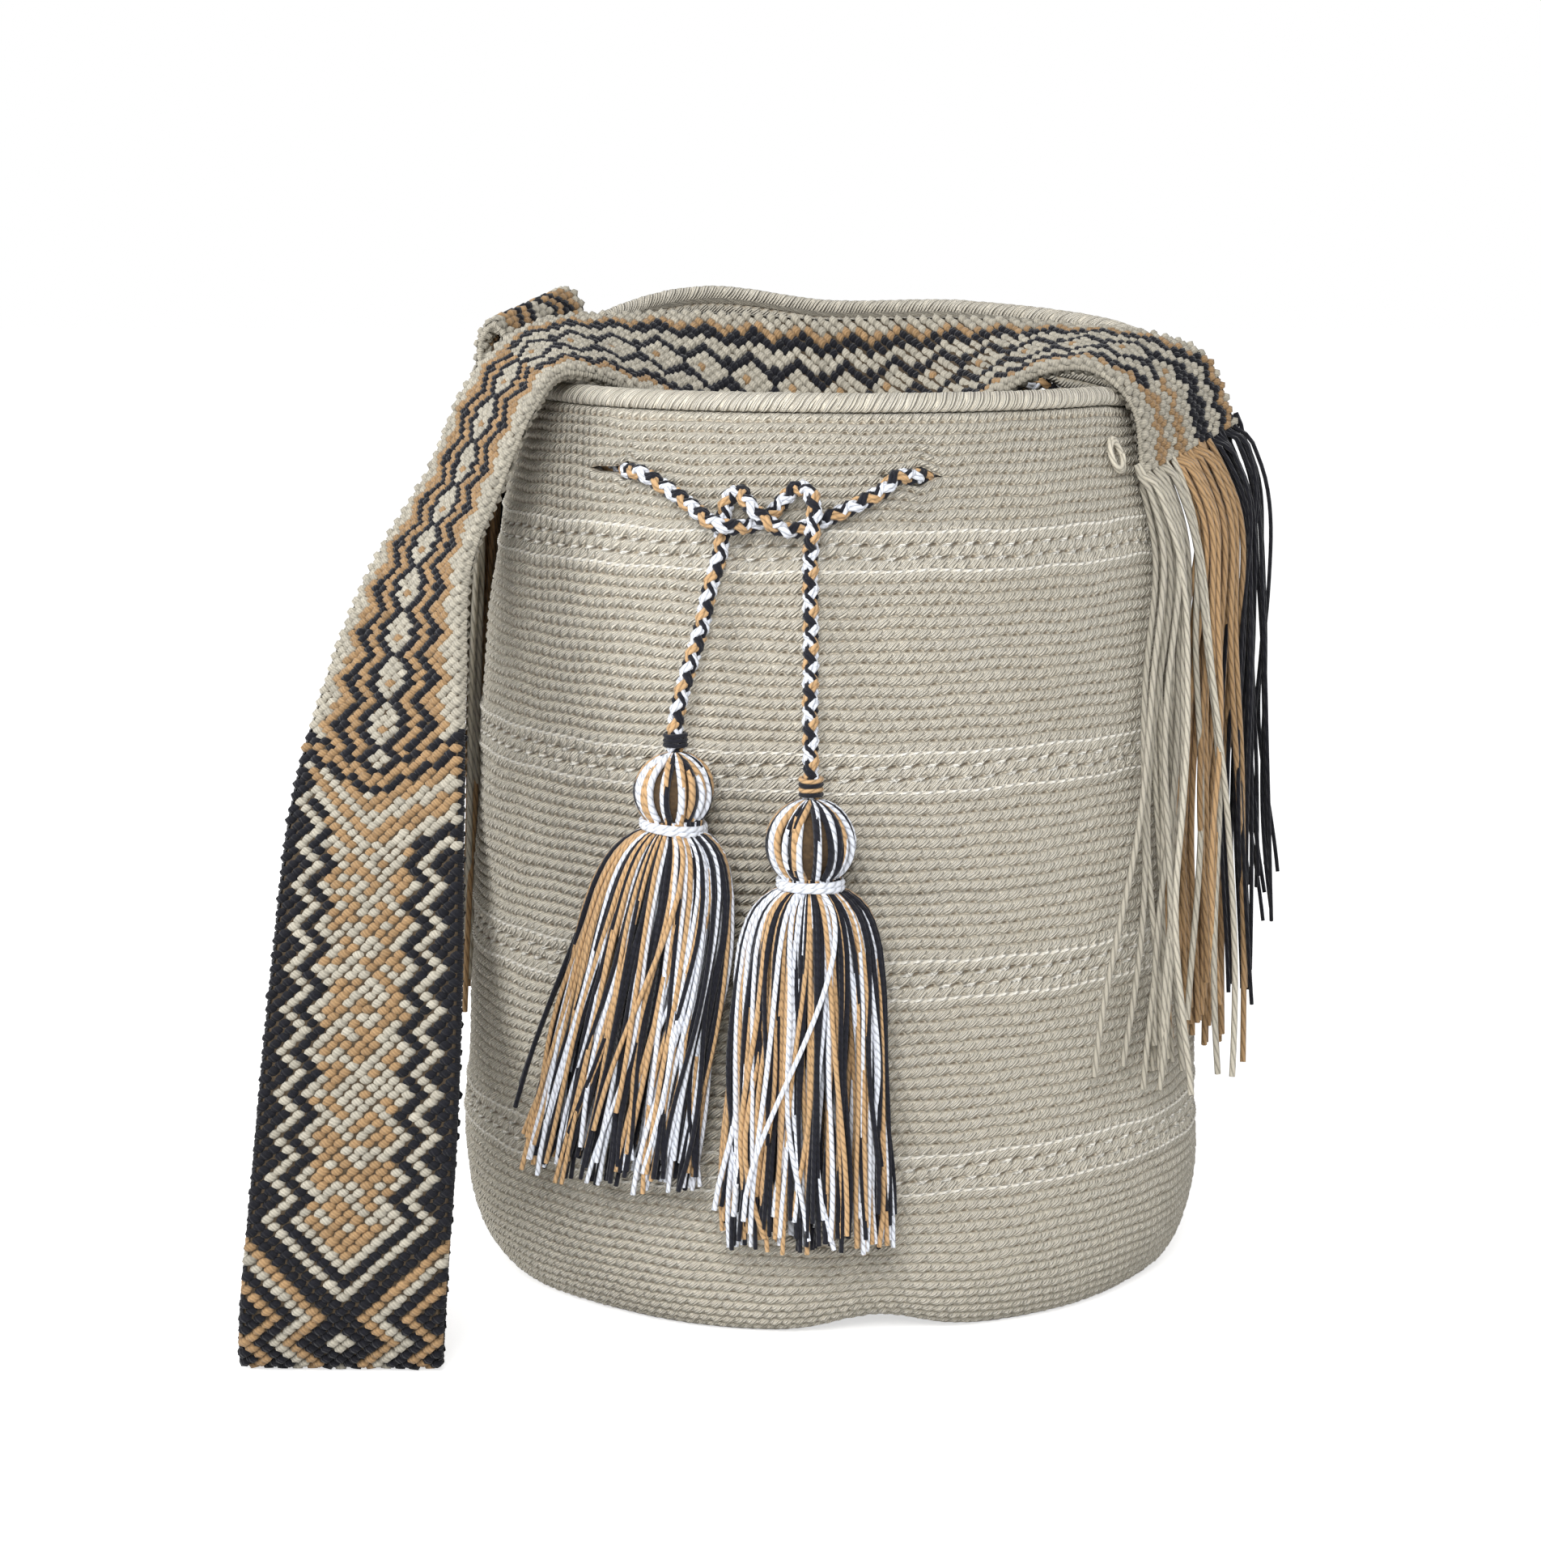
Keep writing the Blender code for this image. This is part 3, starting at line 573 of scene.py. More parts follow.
# The drawstring runs from the left tassel through six slits and the tie to the right tassel
drawcord = {
    "diameter": 0.0052,
    "clearance": 0.0010,
    "gap": 0.0003,
    "passLength": 0.019,
    "eyeletDrop": 0.024,
    "eyeletPlain": 0.0165,
    "eyeletCount": 6,
    "tieAngle": -12.5,
    "tieSpan": 55.0,
    "tieDrop": 0.014,
    "lineRaise": 0.0010,
    "standoff": 0.0018,
    "whipping": 0.0075,
    "step": 0.00115,
    "pitch": 0.0115,
    "braidRadius": 0.00135,
    "weave": 0.00050,
    "yarnRadius": 0.00082,
    "yarnOffset": 0.00066,
}
leftBall = {"angle": -22.3, "height": 0.1705, "radius": 0.0117}
rightBall = {"angle": -3.6, "height": 0.1570, "radius": 0.0130}
headTopTurn = math.radians(16.0)
cordOff = drawcord["diameter"] / 2 + drawcord["clearance"]
eyeletLevel = bag["frontHeight"] - drawcord["eyeletDrop"]


def eyeletAngles():
    step = (360.0 - drawcord["tieSpan"]) / (drawcord["eyeletCount"] - 1)
    first = drawcord["tieAngle"] + drawcord["tieSpan"] / 2
    return [first + step * index for index in range(drawcord["eyeletCount"])]


def ballTop(ball):
    return ball["height"] + ball["radius"] * math.cos(headTopTurn)


def ballStandoff(ball):
    return ball["radius"] + drawcord["standoff"]


def cordPass(angle, inwards):
    height = wallHeight(angle, eyeletLevel)
    inside = -bag["wall"] - cordOff
    start, end = (cordOff, inside) if inwards else (inside, cordOff)
    made = []
    for share in (0.0, 0.33, 0.67, 1.0):
        turn = math.degrees((share - 0.5) * drawcord["passLength"] / rowRadius(angle, eyeletLevel))
        radius = rowRadius(angle + turn, eyeletLevel) + mix(start, end, smooth(share))
        made.append(Vector(polar(angle + turn, radius, height)))
    return made


def cordRun(start, end, outside, count):
    off = cordOff if outside else -bag["wall"] - cordOff
    halfPass = math.degrees(drawcord["passLength"] / 2 / mouthRadiusAt(start))
    made = []
    for index in range(1, count + 1):
        angle = mix(start + halfPass, end - halfPass, index / (count + 1))
        radius = rowRadius(angle, eyeletLevel) + off
        made.append(Vector(polar(angle, radius, wallHeight(angle, eyeletLevel))))
    return made


def cordTail(angleTop, ball, stations):
    end = byWall(ball["angle"], ballStandoff(ball), ballTop(ball) + drawcord["gap"])
    lowHeight = end.z + drawcord["whipping"]
    topHeight = eyeletLevel - drawcord["tieDrop"]
    resting = cordOff + drawcord["lineRaise"]
    made = []
    for index in range(1, stations):
        share = index / stations
        out = mix(resting, ballStandoff(ball), smooth((share - 0.4) / 0.5))
        made.append(byWall(mix(angleTop, ball["angle"], share), out, mix(topHeight, lowHeight, share)))
    made += [end + Vector((0.0, 0.0, drawcord["whipping"])), end]
    return made


def tiePoint(angle, drop, level):
    raised = drawcord["lineRaise"] * smooth(drop / (drawcord["eyeletPlain"] / 2))
    out = cordOff + raised + level * (drawcord["diameter"] + 2 * drawcord["gap"])
    return byWall(angle, out, eyeletLevel - drop)


# angle, millimetres under the eyelets, and 1 where it passes over another stretch
leftTie = [
    (-18.4, 21.5, 0.0), (-18.4, 12.5, 0.0), (-17.8, 6.5, 0.0), (-15.9, 4.0, 0.3), (-13.8, 7.0, 1.0),
    (-10.8, 11.8, 1.12), (-7.6, 15.0, 0.5), (-4.2, 13.5, 0.0), (1.5, 9.0, 0.0), (7.5, 3.5, 0.0),
]
rightTie = [
    (-28.5, 4.5, 0.0), (-23.5, 8.8, 0.3), (-19.6, 12.4, 0.95), (-17.0, 13.8, 1.0), (-13.9, 14.0, 0.1),
    (-11.0, 11.0, -0.05), (-8.6, 6.2, 0.0), (-6.8, 3.0, 0.2), (-4.6, 3.5, 0.7), (-3.6, 8.5, 1.0),
    (-3.8, 14.5, 1.0), (-4.2, 21.5, 0.3),
]


def drawcordRoute():
    route = list(reversed(cordTail(-18.6, leftBall, 6)[1:]))
    route += [tiePoint(angle, drop / 1000, level) for angle, drop, level in leftTie]
    angles = eyeletAngles()
    for index, angle in enumerate(angles):
        inwards = index % 2 == 0
        route += cordPass(angle, inwards)
        if index < len(angles) - 1:
            route += cordRun(angle, angles[index + 1], not inwards, 5)
    route += [tiePoint(angle, drop / 1000, level) for angle, drop, level in rightTie]
    return route + cordTail(-4.4, rightBall, 7)[1:]


# direction round the braid, first angle, and the tones of its two yarns
braidStrands = [
    (1, 0.0, "white", "white"),
    (1, 180.0, "tan", "tan"),
    (-1, 90.0, "black", "black"),
    (-1, 270.0, "black", "white"),
]


def makeDrawcord():
    route, reach = evenly(curveThrough(drawcordRoute(), 8), drawcord["step"])
    side, over = framesAlong(route)
    strands = []
    for way, first, toneA, toneB in braidStrands:
        turn = way * 2 * math.pi * reach / drawcord["pitch"] + math.radians(first)
        weave = way * np.sin(4 * math.pi * reach / drawcord["pitch"]) * drawcord["weave"]
        radius = drawcord["braidRadius"] + weave
        radial = side * np.cos(turn)[:, None] + over * np.sin(turn)[:, None]
        across = over * np.cos(turn)[:, None] - side * np.sin(turn)[:, None]
        for sign, tone in ((-1, toneA), (1, toneB)):
            line = route + radial * radius[:, None] + across * sign * drawcord["yarnOffset"]
            strands.append((line, drawcord["yarnRadius"], yarnTones[tone]))
    paint = yarnMaterial("braided_yarn", 2.0, 0.0032, 0.00015)
    piece = yarnPiece("drawcord", strands, paint)
    place(piece, ["drawstring"], "braided_cord")
    return piece, route, float(reach[-1])


drawcordPiece, drawcordPath, drawcordLength = makeDrawcord()
print("made the drawstring, %.3f m long" % drawcordLength)


# The crocheted wall: stitches round it, rows up it, lines and dashes in the four bands
crochet = {
    "stitches": 188,
    "perStitch": 4,
    "perRow": 3,
    "rowPitch": 0.0034,
    "bands": (0.047, 0.106, 0.169, 0.234),
    "bandWidth": 0.0115,
    "bandRows": 3,
    "inset": 0.0009,
    "ridge": 0.00100,
    "pit": 0.0007,
    "line": 0.0016,
    "dash": 0.0012,
    "splitRow": 42,
    "slitHalf": 12,
    "slitShifts": (-5, 0, 0, 0, 0, 6),
    "slitOpen": 0.0020,
    "slitEnds": 0.0009,
    "slitCentre": 2.0,
    "slitWidth": 0.32,
    "slitRows": 3.5,
    "slitBulge": 0.0011,
    "wave": 0.00040,
    "drift": 0.00024,
    "recess": 0.0011,
    "recessRamp": 0.0035,
    "lipDrop": 0.0056,
    "lipRings": 15,
    "lipTurns": (-70.0, 200.0),
    "lipSag": 0.0028,
    "lipTall": 0.0026,
    "lipInset": 0.0017,
    "lipWide": 0.0027,
    "baseRings": 27,
    "baseBendRings": 5,
    "baseLift": 0.0008,
    "floorRings": 20,
    "floorRadius": 0.104,
    "floorLevel": 0.0048,
    "floorRise": 0.004,
    "cream": (0.780, 0.730, 0.615, 1.0),
    "warm": (0.740, 0.680, 0.550, 1.0),
    # the painted shadow in the pits, grooves and creases, then the painted highlight on the ridges
    "shadow": (0.205, 0.150, 0.092, 1.0),
    "highlightColour": (0.860, 0.830, 0.750, 1.0),
}


def rowMarks():
    # arc length from the base's edge gives even rows where the wall curves in
    fine = bag["bellyHeight"] * (1.0 - np.cos(np.linspace(0.0, math.pi / 2, 400)))
    fine = np.concatenate((fine, np.linspace(fine[-1], crochet["bands"][0], 40)[1:]))
    steps = np.hypot(np.diff(rowRadius(90.0, fine)), np.diff(fine))
    reach = np.concatenate(([0.0], np.cumsum(steps)))
    count = int(round(reach[-1] / crochet["rowPitch"]))
    marks = list(np.interp(np.linspace(0.0, reach[-1], count + 1), reach, fine))
    lines, dashes = [], []
    ends = list(crochet["bands"][1:]) + [eyeletLevel]
    for band, after in zip(crochet["bands"], ends):
        lines.append(len(marks) - 1)
        top = band + crochet["bandWidth"]
        marks += list(np.linspace(band, top, crochet["bandRows"] + 1)[1:])
        lines.append(len(marks) - 1)
        dashes += [len(marks) - 2, len(marks) - 3]
        count = max(1, int(round((after - top) / crochet["rowPitch"])))
        marks += list(np.linspace(top, after, count + 1)[1:])
    slitRow = len(marks) - 1
    marks += list(np.linspace(eyeletLevel, bag["frontHeight"] - crochet["lipDrop"], 7)[1:])
    return np.array(marks), lines, dashes, slitRow


def slitShape(columns):
    # how far each column's slit opens, and in which direction the cord goes through
    opened = np.zeros(columns)
    ends = []
    scale = crochet["stitches"] * crochet["perStitch"] // columns
    half = crochet["slitHalf"] // scale
    for index, angle in enumerate(eyeletAngles()):
        outwards = 1 if index % 2 == 0 else -1
        middle = int(round(angle / 360.0 * columns * scale / 2)) * 2
        shift = crochet["slitShifts"][index]
        middle = (middle + outwards * shift) // scale
        for step in range(-half + 1, half):
            reach = step / half
            off = reach * outwards + (crochet["slitCentre"] + shift) / crochet["slitHalf"]
            wide = crochet["slitOpen"] * math.exp(-((off / crochet["slitWidth"]) ** 2))
            wide += crochet["slitEnds"]
            opened[(middle + step) % columns] = wide * min(1.0, 3.0 * (1.0 - abs(reach)))
        ends.append((middle, half))
    return opened, ends


def blockPoints(angles, levels, offsets):
    return polar(angles, rowRadius(angles, levels) + offsets, wallHeight(angles, levels))


def outwardOf(grid):
    tangent = np.roll(grid, -1, axis=1) - np.roll(grid, 1, axis=1)
    upward = np.gradient(grid, axis=0)
    normal = np.cross(tangent, upward)
    return normal / np.maximum(np.linalg.norm(normal, axis=2), 1e-9)[:, :, None]


class Shell:
    def __init__(self):
        self.points, self.outward, self.stitch, self.row = [], [], [], []
        self.line, self.dash, self.relief = [], [], []
        self.faces = {"base": [], "wallLower": [], "wallUpper": [], "rimAndLining": []}
        self.corners = {block: [] for block in self.faces}
        self.block = "base"

    def ring(self, points, outward, row, line=0.0, dash=0.0, relief=1.0, shift=0.0):
        first = len(self.points)
        count = len(points)
        self.points += list(points)
        self.outward += list(outward)
        self.stitch += list(np.arange(count) * (crochet["stitches"] / count) + shift)
        self.row += [row] * count
        self.line += [line] * count
        self.dash += [dash] * count
        self.relief += [relief] * count
        return np.arange(first, first + count)

    def face(self, spots, corners):
        self.faces[self.block].append(tuple(int(spot) for spot in spots))
        self.corners[self.block] += corners

    def add(self, places):
        self.face([spot for spot, _, _ in places], [(u, v) for _, u, v in places])

    def stretch(self, ring, index, count):
        # one of a ring's equal parts, each point with its place in stitches and rows
        many = len(ring) // count
        width = crochet["stitches"] / count
        shift, row = self.stitch[ring[0]], self.row[ring[0]]
        return [(ring[(index * many + step) % len(ring)], (index + step / many) * width + shift, row)
                for step in range(many + 1)]

    def fan(self, many, few, way):
        half = len(many) // 2
        for step in range(len(many) - 1):
            if step == half:
                self.add([many[half], few[1], few[0]][::way])
            self.add([many[step], many[step + 1], few[0 if step < half else 1]][::way])

    def strip(self, low, high):
        # joins two rings, of which either may have a multiple of the other's points
        count = min(len(low), len(high))
        for index in range(count):
            under, upper = self.stretch(low, index, count), self.stretch(high, index, count)
            if len(under) > 2:
                self.fan(under, upper, 1)
            elif len(upper) > 2:
                self.fan(upper, under, -1)
            else:
                self.add(under + upper[::-1])


def buildShell():
    shell = Shell()
    columns = crochet["stitches"] * crochet["perStitch"]
    angles = 360.0 * np.arange(columns) / columns
    marks, lines, dashes, slitRow = rowMarks()
    perRow = crochet["perRow"]
    rows = np.arange((len(marks) - 1) * perRow + 1) / perRow
    levels = np.interp(rows, np.arange(len(marks)), marks)
    opened, slits = slitShape(columns)
    wave = crochet["wave"] * (
        np.sin(np.radians(angles * 5.0 + 40.0))[None, :] * np.sin(levels * 90.0)[:, None]
        + np.sin(np.radians(angles * 11.0))[None, :] * np.sin(levels * 150.0 + 1.0)[:, None]
    )
    # the rows wander a little up and down, and not at the base or the edge
    turns = np.radians(angles)[None, :]
    heights = levels[:, None]
    drift = np.sin(turns * 7.0 + heights * 55.0) + 0.8 * np.sin(turns * 17.0 - heights * 130.0 + 2.0)
    drift = drift + 0.6 * np.sin(turns * 31.0 + heights * 210.0 + 0.7)
    lipStart = bag["frontHeight"] - crochet["lipDrop"]
    ends = smooth(heights / 0.012) * smooth((lipStart - heights) / 0.006)
    drift = crochet["drift"] * drift * ends
    recess = crochet["recess"] * smooth((heights - lipStart) / crochet["recessRamp"] + 1.0)

    def wallGrid(side, offset):
        # side is 1 for the rows over the slits and -1 for those under them
        away = np.abs(rows - slitRow)[:, None]
        taper = np.maximum(0.0, 1.0 - away / crochet["slitRows"])
        shifted = levels[:, None] + drift + side * opened[None, :] * taper
        bulge = crochet["slitBulge"] * taper * np.minimum(1.0, opened / 0.002)[None, :]
        offset = offset + wave - recess + bulge * (1.0 if side > 0 else 0.35)
        return blockPoints(angles[None, :], shifted, offset)

    under, over = wallGrid(-1, -crochet["inset"]), wallGrid(1, -crochet["inset"])
    outUnder, outOver = outwardOf(under), outwardOf(over)
    marksLine = {line * perRow for line in lines}
    marksDash = {dash * perRow: (1.0 if index % 2 else -1.0) for index, dash in enumerate(dashes)}
    slitSample = slitRow * perRow

    # the base, from its middle out to the wall
    stitches = crochet["stitches"]
    baseAngles = 360.0 * np.arange(stitches) / stitches
    edge = blockPoints(baseAngles, np.zeros(stitches), -crochet["inset"])
    flatLevel = np.full(stitches, crochet["inset"] + crochet["baseLift"])
    flat = polar(baseAngles, bag["flatRadius"], flatLevel)
    bendRings = crochet["baseBendRings"]
    flatShares = np.linspace(0.02, 1.0, crochet["baseRings"] - bendRings)
    grid = [flat * np.array((share, share, 1.0)) for share in flatShares]
    grid += [mix(flat, edge, share) for share in np.linspace(0.0, 1.0, bendRings + 2)[1:-1]]
    down = np.broadcast_to((0.0, 0.0, -1.0), edge.shape)
    before = None
    for index, ring in enumerate(grid):
        made = shell.ring(ring, down, index - crochet["baseRings"], relief=0.8)
        if before is None:
            shell.face(made[::-1], [(0.0, index - crochet["baseRings"])] * len(made))
        else:
            shell.strip(before, made)
        before = made

    openColumns = np.nonzero(opened > 0.0)[0]
    for sample, row in enumerate(rows):
        source, outward = (under, outUnder) if sample <= slitSample else (over, outOver)
        made = shell.ring(
            source[sample], outward[sample], row,
            line=1.0 if sample in marksLine else 0.0,
            dash=marksDash.get(sample, 0.0),
            relief=min(1.0, sample / 6),
        )
        if sample:
            shell.block = "wallLower" if row <= crochet["splitRow"] else "wallUpper"
        shell.strip(before, made)
        before = made
        if sample == slitSample:
            lowerSlit = made
            raised = shell.ring(over[sample][openColumns], outOver[sample][openColumns], row)
            for spot, column in zip(raised, openColumns):
                shell.stitch[spot] = column / crochet["perStitch"]
            upperSlit = made.copy()
            upperSlit[openColumns] = raised
            before = upperSlit

    # the rolled edge, over the top and down to the lining
    shell.block = "rimAndLining"
    middle = bag["frontHeight"] - crochet["lipSag"]
    lip = []
    for turn in np.radians(np.linspace(*crochet["lipTurns"], crochet["lipRings"])):
        level = np.full(columns, middle + crochet["lipTall"] * math.sin(turn))
        lip.append(blockPoints(angles, level, -crochet["lipInset"] + crochet["lipWide"] * math.cos(turn)))
    lipOut = outwardOf(np.array(lip))
    lastRow = rows[-1]
    for index, ring in enumerate(lip):
        share = (index + 1) / (len(lip) + 1)
        row = lastRow + 0.25 + 0.6 * share
        made = shell.ring(ring, lipOut[index], row, relief=0.45, shift=-2.4 * share)
        shell.strip(before, made)
        before = made

    # the lining, one ring a row, down to the floor inside
    innerColumns = columns // 2
    innerAngles = 360.0 * np.arange(innerColumns) / innerColumns
    innerOpen, _ = slitShape(innerColumns)
    openInner = np.nonzero(innerOpen > 0.0)[0]
    inward = -polar(innerAngles, 1.0, np.zeros(innerColumns))
    for row in np.arange(len(marks) - 1, 3, -1):
        side = 1.0 if row >= slitRow else -1.0
        taper = max(0.0, 1.0 - abs(row - slitRow) / crochet["slitRows"])
        ring = blockPoints(innerAngles, marks[row] + side * innerOpen * taper, -bag["wall"])
        made = shell.ring(ring, inward, lastRow + 1.0 + (len(marks) - 1 - row), relief=0.6)
        shell.strip(before, made)
        before = made
        if row == slitRow:
            innerUpper = made
            ring = blockPoints(innerAngles, marks[row] - innerOpen, -bag["wall"])
            dropped = shell.ring(ring[openInner], inward[openInner], shell.row[made[0]])
            for spot, column in zip(dropped, openInner):
                shell.stitch[spot] = column * 0.5
            innerLower = made.copy()
            innerLower[openInner] = dropped
            before = innerLower
    floorRow = shell.row[before[0]]
    upward = np.broadcast_to((0.0, 0.0, 1.0), edge.shape)
    for step, share in enumerate(np.linspace(0.9, 0.02, crochet["floorRings"])):
        level = crochet["floorLevel"] + crochet["floorRise"] * max(0.0, share - 0.8) / 0.1
        ring = polar(baseAngles, share * crochet["floorRadius"], np.full(stitches, level))
        made = shell.ring(ring, upward, floorRow + 1.0 + step, relief=0.6)
        shell.strip(before, made)
        before = made
    shell.face(before, [(0.0, shell.row[before[0]])] * len(before))

    # the thickness of the wall in each slit
    for middle, half in slits:
        for inner in range((middle - half) // 2, (middle + half) // 2):
            a, b, c = (2 * inner) % columns, (2 * inner + 1) % columns, (2 * inner + 2) % columns
            d, e = inner % innerColumns, (inner + 1) % innerColumns
            uv = [(inner * 1.0, slitRow)]
            shell.face((lowerSlit[a], lowerSlit[b], innerLower[d]), uv * 3)
            shell.face((lowerSlit[b], lowerSlit[c], innerLower[e], innerLower[d]), uv * 4)
            shell.face((upperSlit[b], upperSlit[a], innerUpper[d]), uv * 3)
            shell.face((upperSlit[c], upperSlit[b], innerUpper[d], innerUpper[e]), uv * 4)
    return shell


def crochetShape(stitch, row):
    # rise runs from 0 in the groove under a row to 1 in the groove over it
    number = row.math("FLOOR")
    rise = row - number
    place = stitch + number * 0.37 - rise * 0.40
    whole = (place + 0.5).math("FLOOR")
    chance = ((whole * 12.99 + number * 78.23).math("SINE") * 437.6).math("FRACT")
    middle = (place * (2 * math.pi)).math("COSINE") * -0.5 + 0.5
    lifted = rise - middle.flipped() * rise.flipped() * (chance * 0.30 + 0.16)
    ridge = (lifted * math.pi).math("SINE").math("MAXIMUM", 0.0).math("POWER", 0.6)
    off = place + 0.5 - whole - 0.5
    low = (rise - 0.05) * 1.1
    pit = ((off * off / 0.038 + low * low / 0.020) * -1.0).math("EXPONENT")
    crease = (off * off / -0.006).math("EXPONENT") * ridge
    return rise, place, middle, ridge, pit * (chance * 0.75 + 0.25), chance, crease


def makeCrochetTree():
    inputs = {
        "Geometry": "Geometry", "Ridge": 0.001, "Pit": 0.001, "Line": 0.001, "Dash": 0.001,
        "Unevenness": 0.35, "Material": "Material",
    }
    tree, given, end = newGroup("crochetRelief", "GeometryNodeTree", inputs, {"Geometry": "Geometry"})
    stitch, row = readAttribute(tree, "stitch"), readAttribute(tree, "row")
    _, _, middle, ridge, pit, chance, _ = crochetShape(stitch, row)
    vary = noiseAt(tree, 260.0, 1.0, newWire(tree, "GeometryNodeInputPosition")) - 0.5
    vary = vary * given["Unevenness"] * 2.0 + 1.0
    plain = ridge * given["Ridge"] * (middle * 0.42 + chance * 0.22 + 0.52) * vary - pit * given["Pit"]
    line, dash = readAttribute(tree, "line"), readAttribute(tree, "dash")
    twist = (stitch * (2 * math.pi)).math("SINE") * 0.12 + 0.88
    half = (stitch * (math.pi / 2) + dash * (math.pi / 4)).math("SINE").math("ABSOLUTE")
    knob = half.between(0.72, 0.97) * dash.math("ABSOLUTE")
    lines = line * twist * given["Line"]
    height = plain * line.flipped() + lines + knob * given["Dash"]
    height = height * readAttribute(tree, "relief")
    offset = {0: readAttribute(tree, "outward", "FLOAT_VECTOR"), "Scale": height}
    offset = newWire(tree, "ShaderNodeVectorMath", offset, operation="SCALE")
    moved = newWire(tree, "GeometryNodeSetPosition", {"Geometry": given["Geometry"], "Offset": offset})
    return finishShape(tree, moved, given["Material"], end)


def makeStitchGroup():
    inputs = {"Stitches": "Vector", "Line": 0.0, "Dash": 0.0}
    outputs = {"Height": 0.0, "Shadow": 0.0, "Bright": 0.0}
    tree, given, end = newGroup("crochetStitch", "ShaderNodeTree", inputs, outputs)
    stitch, row, _ = parts(tree, given["Stitches"])
    wander = noiseAt(tree, 130.0, 1.0) - 0.5
    moved = (stitch + wander * 0.25, row + wander * 0.12)
    rise, place, middle, ridge, pit, chance, crease = crochetShape(*moved)
    plies = ((place * 2.7 - rise * 1.7 + wander * 0.9) * (2 * math.pi)).math("SINE") * 0.5 + 0.5
    line = given["Line"].between(0.35, 0.75)
    dash = given["Dash"].math("ABSOLUTE").between(0.35, 0.8)
    away = row - row.math("ROUND")
    rope = ((stitch - away * 1.5) * (2 * math.pi)).math("SINE") * 0.5 + 0.5
    slant = stitch * (math.pi / 2) - away * 2.6
    level = given["Dash"].math("SIGN") * (math.pi / 4)
    knob = (slant + level).math("SINE").math("ABSOLUTE").between(0.70, 0.95) * dash
    hole = (slant + level - 0.95).math("SINE").math("ABSOLUTE").between(0.90, 1.0) * dash * knob.flipped()
    fibre = noiseAt(tree, 1500.0, 2.0)
    plain = ridge * 0.55 + middle * ridge * 0.34 + plies * 0.50 * ridge - pit * 0.6 - crease * 0.35
    height = plain * line.flipped() + line * (rope * 0.5 + 0.6) + knob * 0.6 - hole * 0.4 + fibre * 0.22
    feed(tree, height, end.inputs["Height"])
    groove = ridge.flipped().between(0.25, 0.95)
    valley = plies.flipped().between(0.45, 1.0) * 0.17
    dark = pit * 0.9 + groove * 0.28 + hole * 0.55 + valley + crease * 0.22
    dark = dark.math("MINIMUM", 0.9) * line.flipped() * knob.flipped()
    feed(tree, dark + line * rope.flipped().between(0.75, 1.0) * 0.22, end.inputs["Shadow"])
    # painted highlight on the ridge tops along the plies, with a random lightness per stitch; the raised
    # lines and dash knobs are made lighter too
    shine = plies.between(0.40, 0.95) * 0.75 + chance * 0.25
    glow = shine * ridge.between(0.45, 0.95) * (wander + 0.55) * line.flipped()
    feed(tree, (glow + line * (rope * 0.55 + 0.45) + knob).math("MINIMUM", 1.0), end.inputs["Bright"])
    return tree


def crochetMaterial():
    made, tree, shader = newMaterial("cream_crochet", 0.9, 0.1)
    values = {
        "Stitches": newWire(tree, "ShaderNodeUVMap", uv_map="stitches"),
        "Line": shaderAttribute(tree, "line"),
        "Dash": shaderAttribute(tree, "dash"),
    }
    group = newNode(tree, "ShaderNodeGroup", values, node_tree=makeStitchGroup())
    mottled = noiseAt(tree, 60.0, 3.0)
    base = colourBetween(tree, mottled, crochet["cream"], crochet["warm"])
    # the painted highlight, then the painted shadow, laid over the yarn's own mottled colour
    lit = colourBetween(tree, Wire(tree, group.outputs["Bright"]), base, crochet["highlightColour"])
    colour = colourBetween(tree, Wire(tree, group.outputs["Shadow"]), lit, crochet["shadow"])
    feed(tree, colour, shader.inputs["Base Color"])
    addBump(tree, shader, Wire(tree, group.outputs["Height"]), 0.0021)
    return made


def makeWall():
    shell = buildShell()
    points = np.array(shell.points)
    paint = crochetMaterial()
    tree = makeCrochetTree()
    values = {
        "Ridge": crochet["ridge"],
        "Pit": crochet["pit"],
        "Line": crochet["line"],
        "Dash": crochet["dash"],
        "Material": paint,
    }
    for name, faces in shell.faces.items():
        used = np.unique(np.concatenate([np.array(face) for face in faces]))
        fresh = np.full(len(points), -1)
        fresh[used] = np.arange(len(used))
        mesh = bpy.data.meshes.new(name)
        mesh.from_pydata(points[used].tolist(), [], [tuple(fresh[list(face)].tolist()) for face in faces])
        for label in ("stitch", "row", "line", "dash", "relief"):
            writeAttribute(mesh, label, "FLOAT", np.array(getattr(shell, label), "f")[used])
        writeAttribute(mesh, "outward", "FLOAT_VECTOR", np.array(shell.outward, "f")[used])
        layer = mesh.uv_layers.new(name="stitches")
        layer.data.foreach_set("uv", np.array(shell.corners[name], "f").ravel())
        piece = link(bpy.data.objects.new(name, mesh))
        runTree(piece, tree, values)
        place(piece, ["bag_body"], "cream_crochet")
        print("made", name, len(piece.data.polygons), "faces")


makeWall()


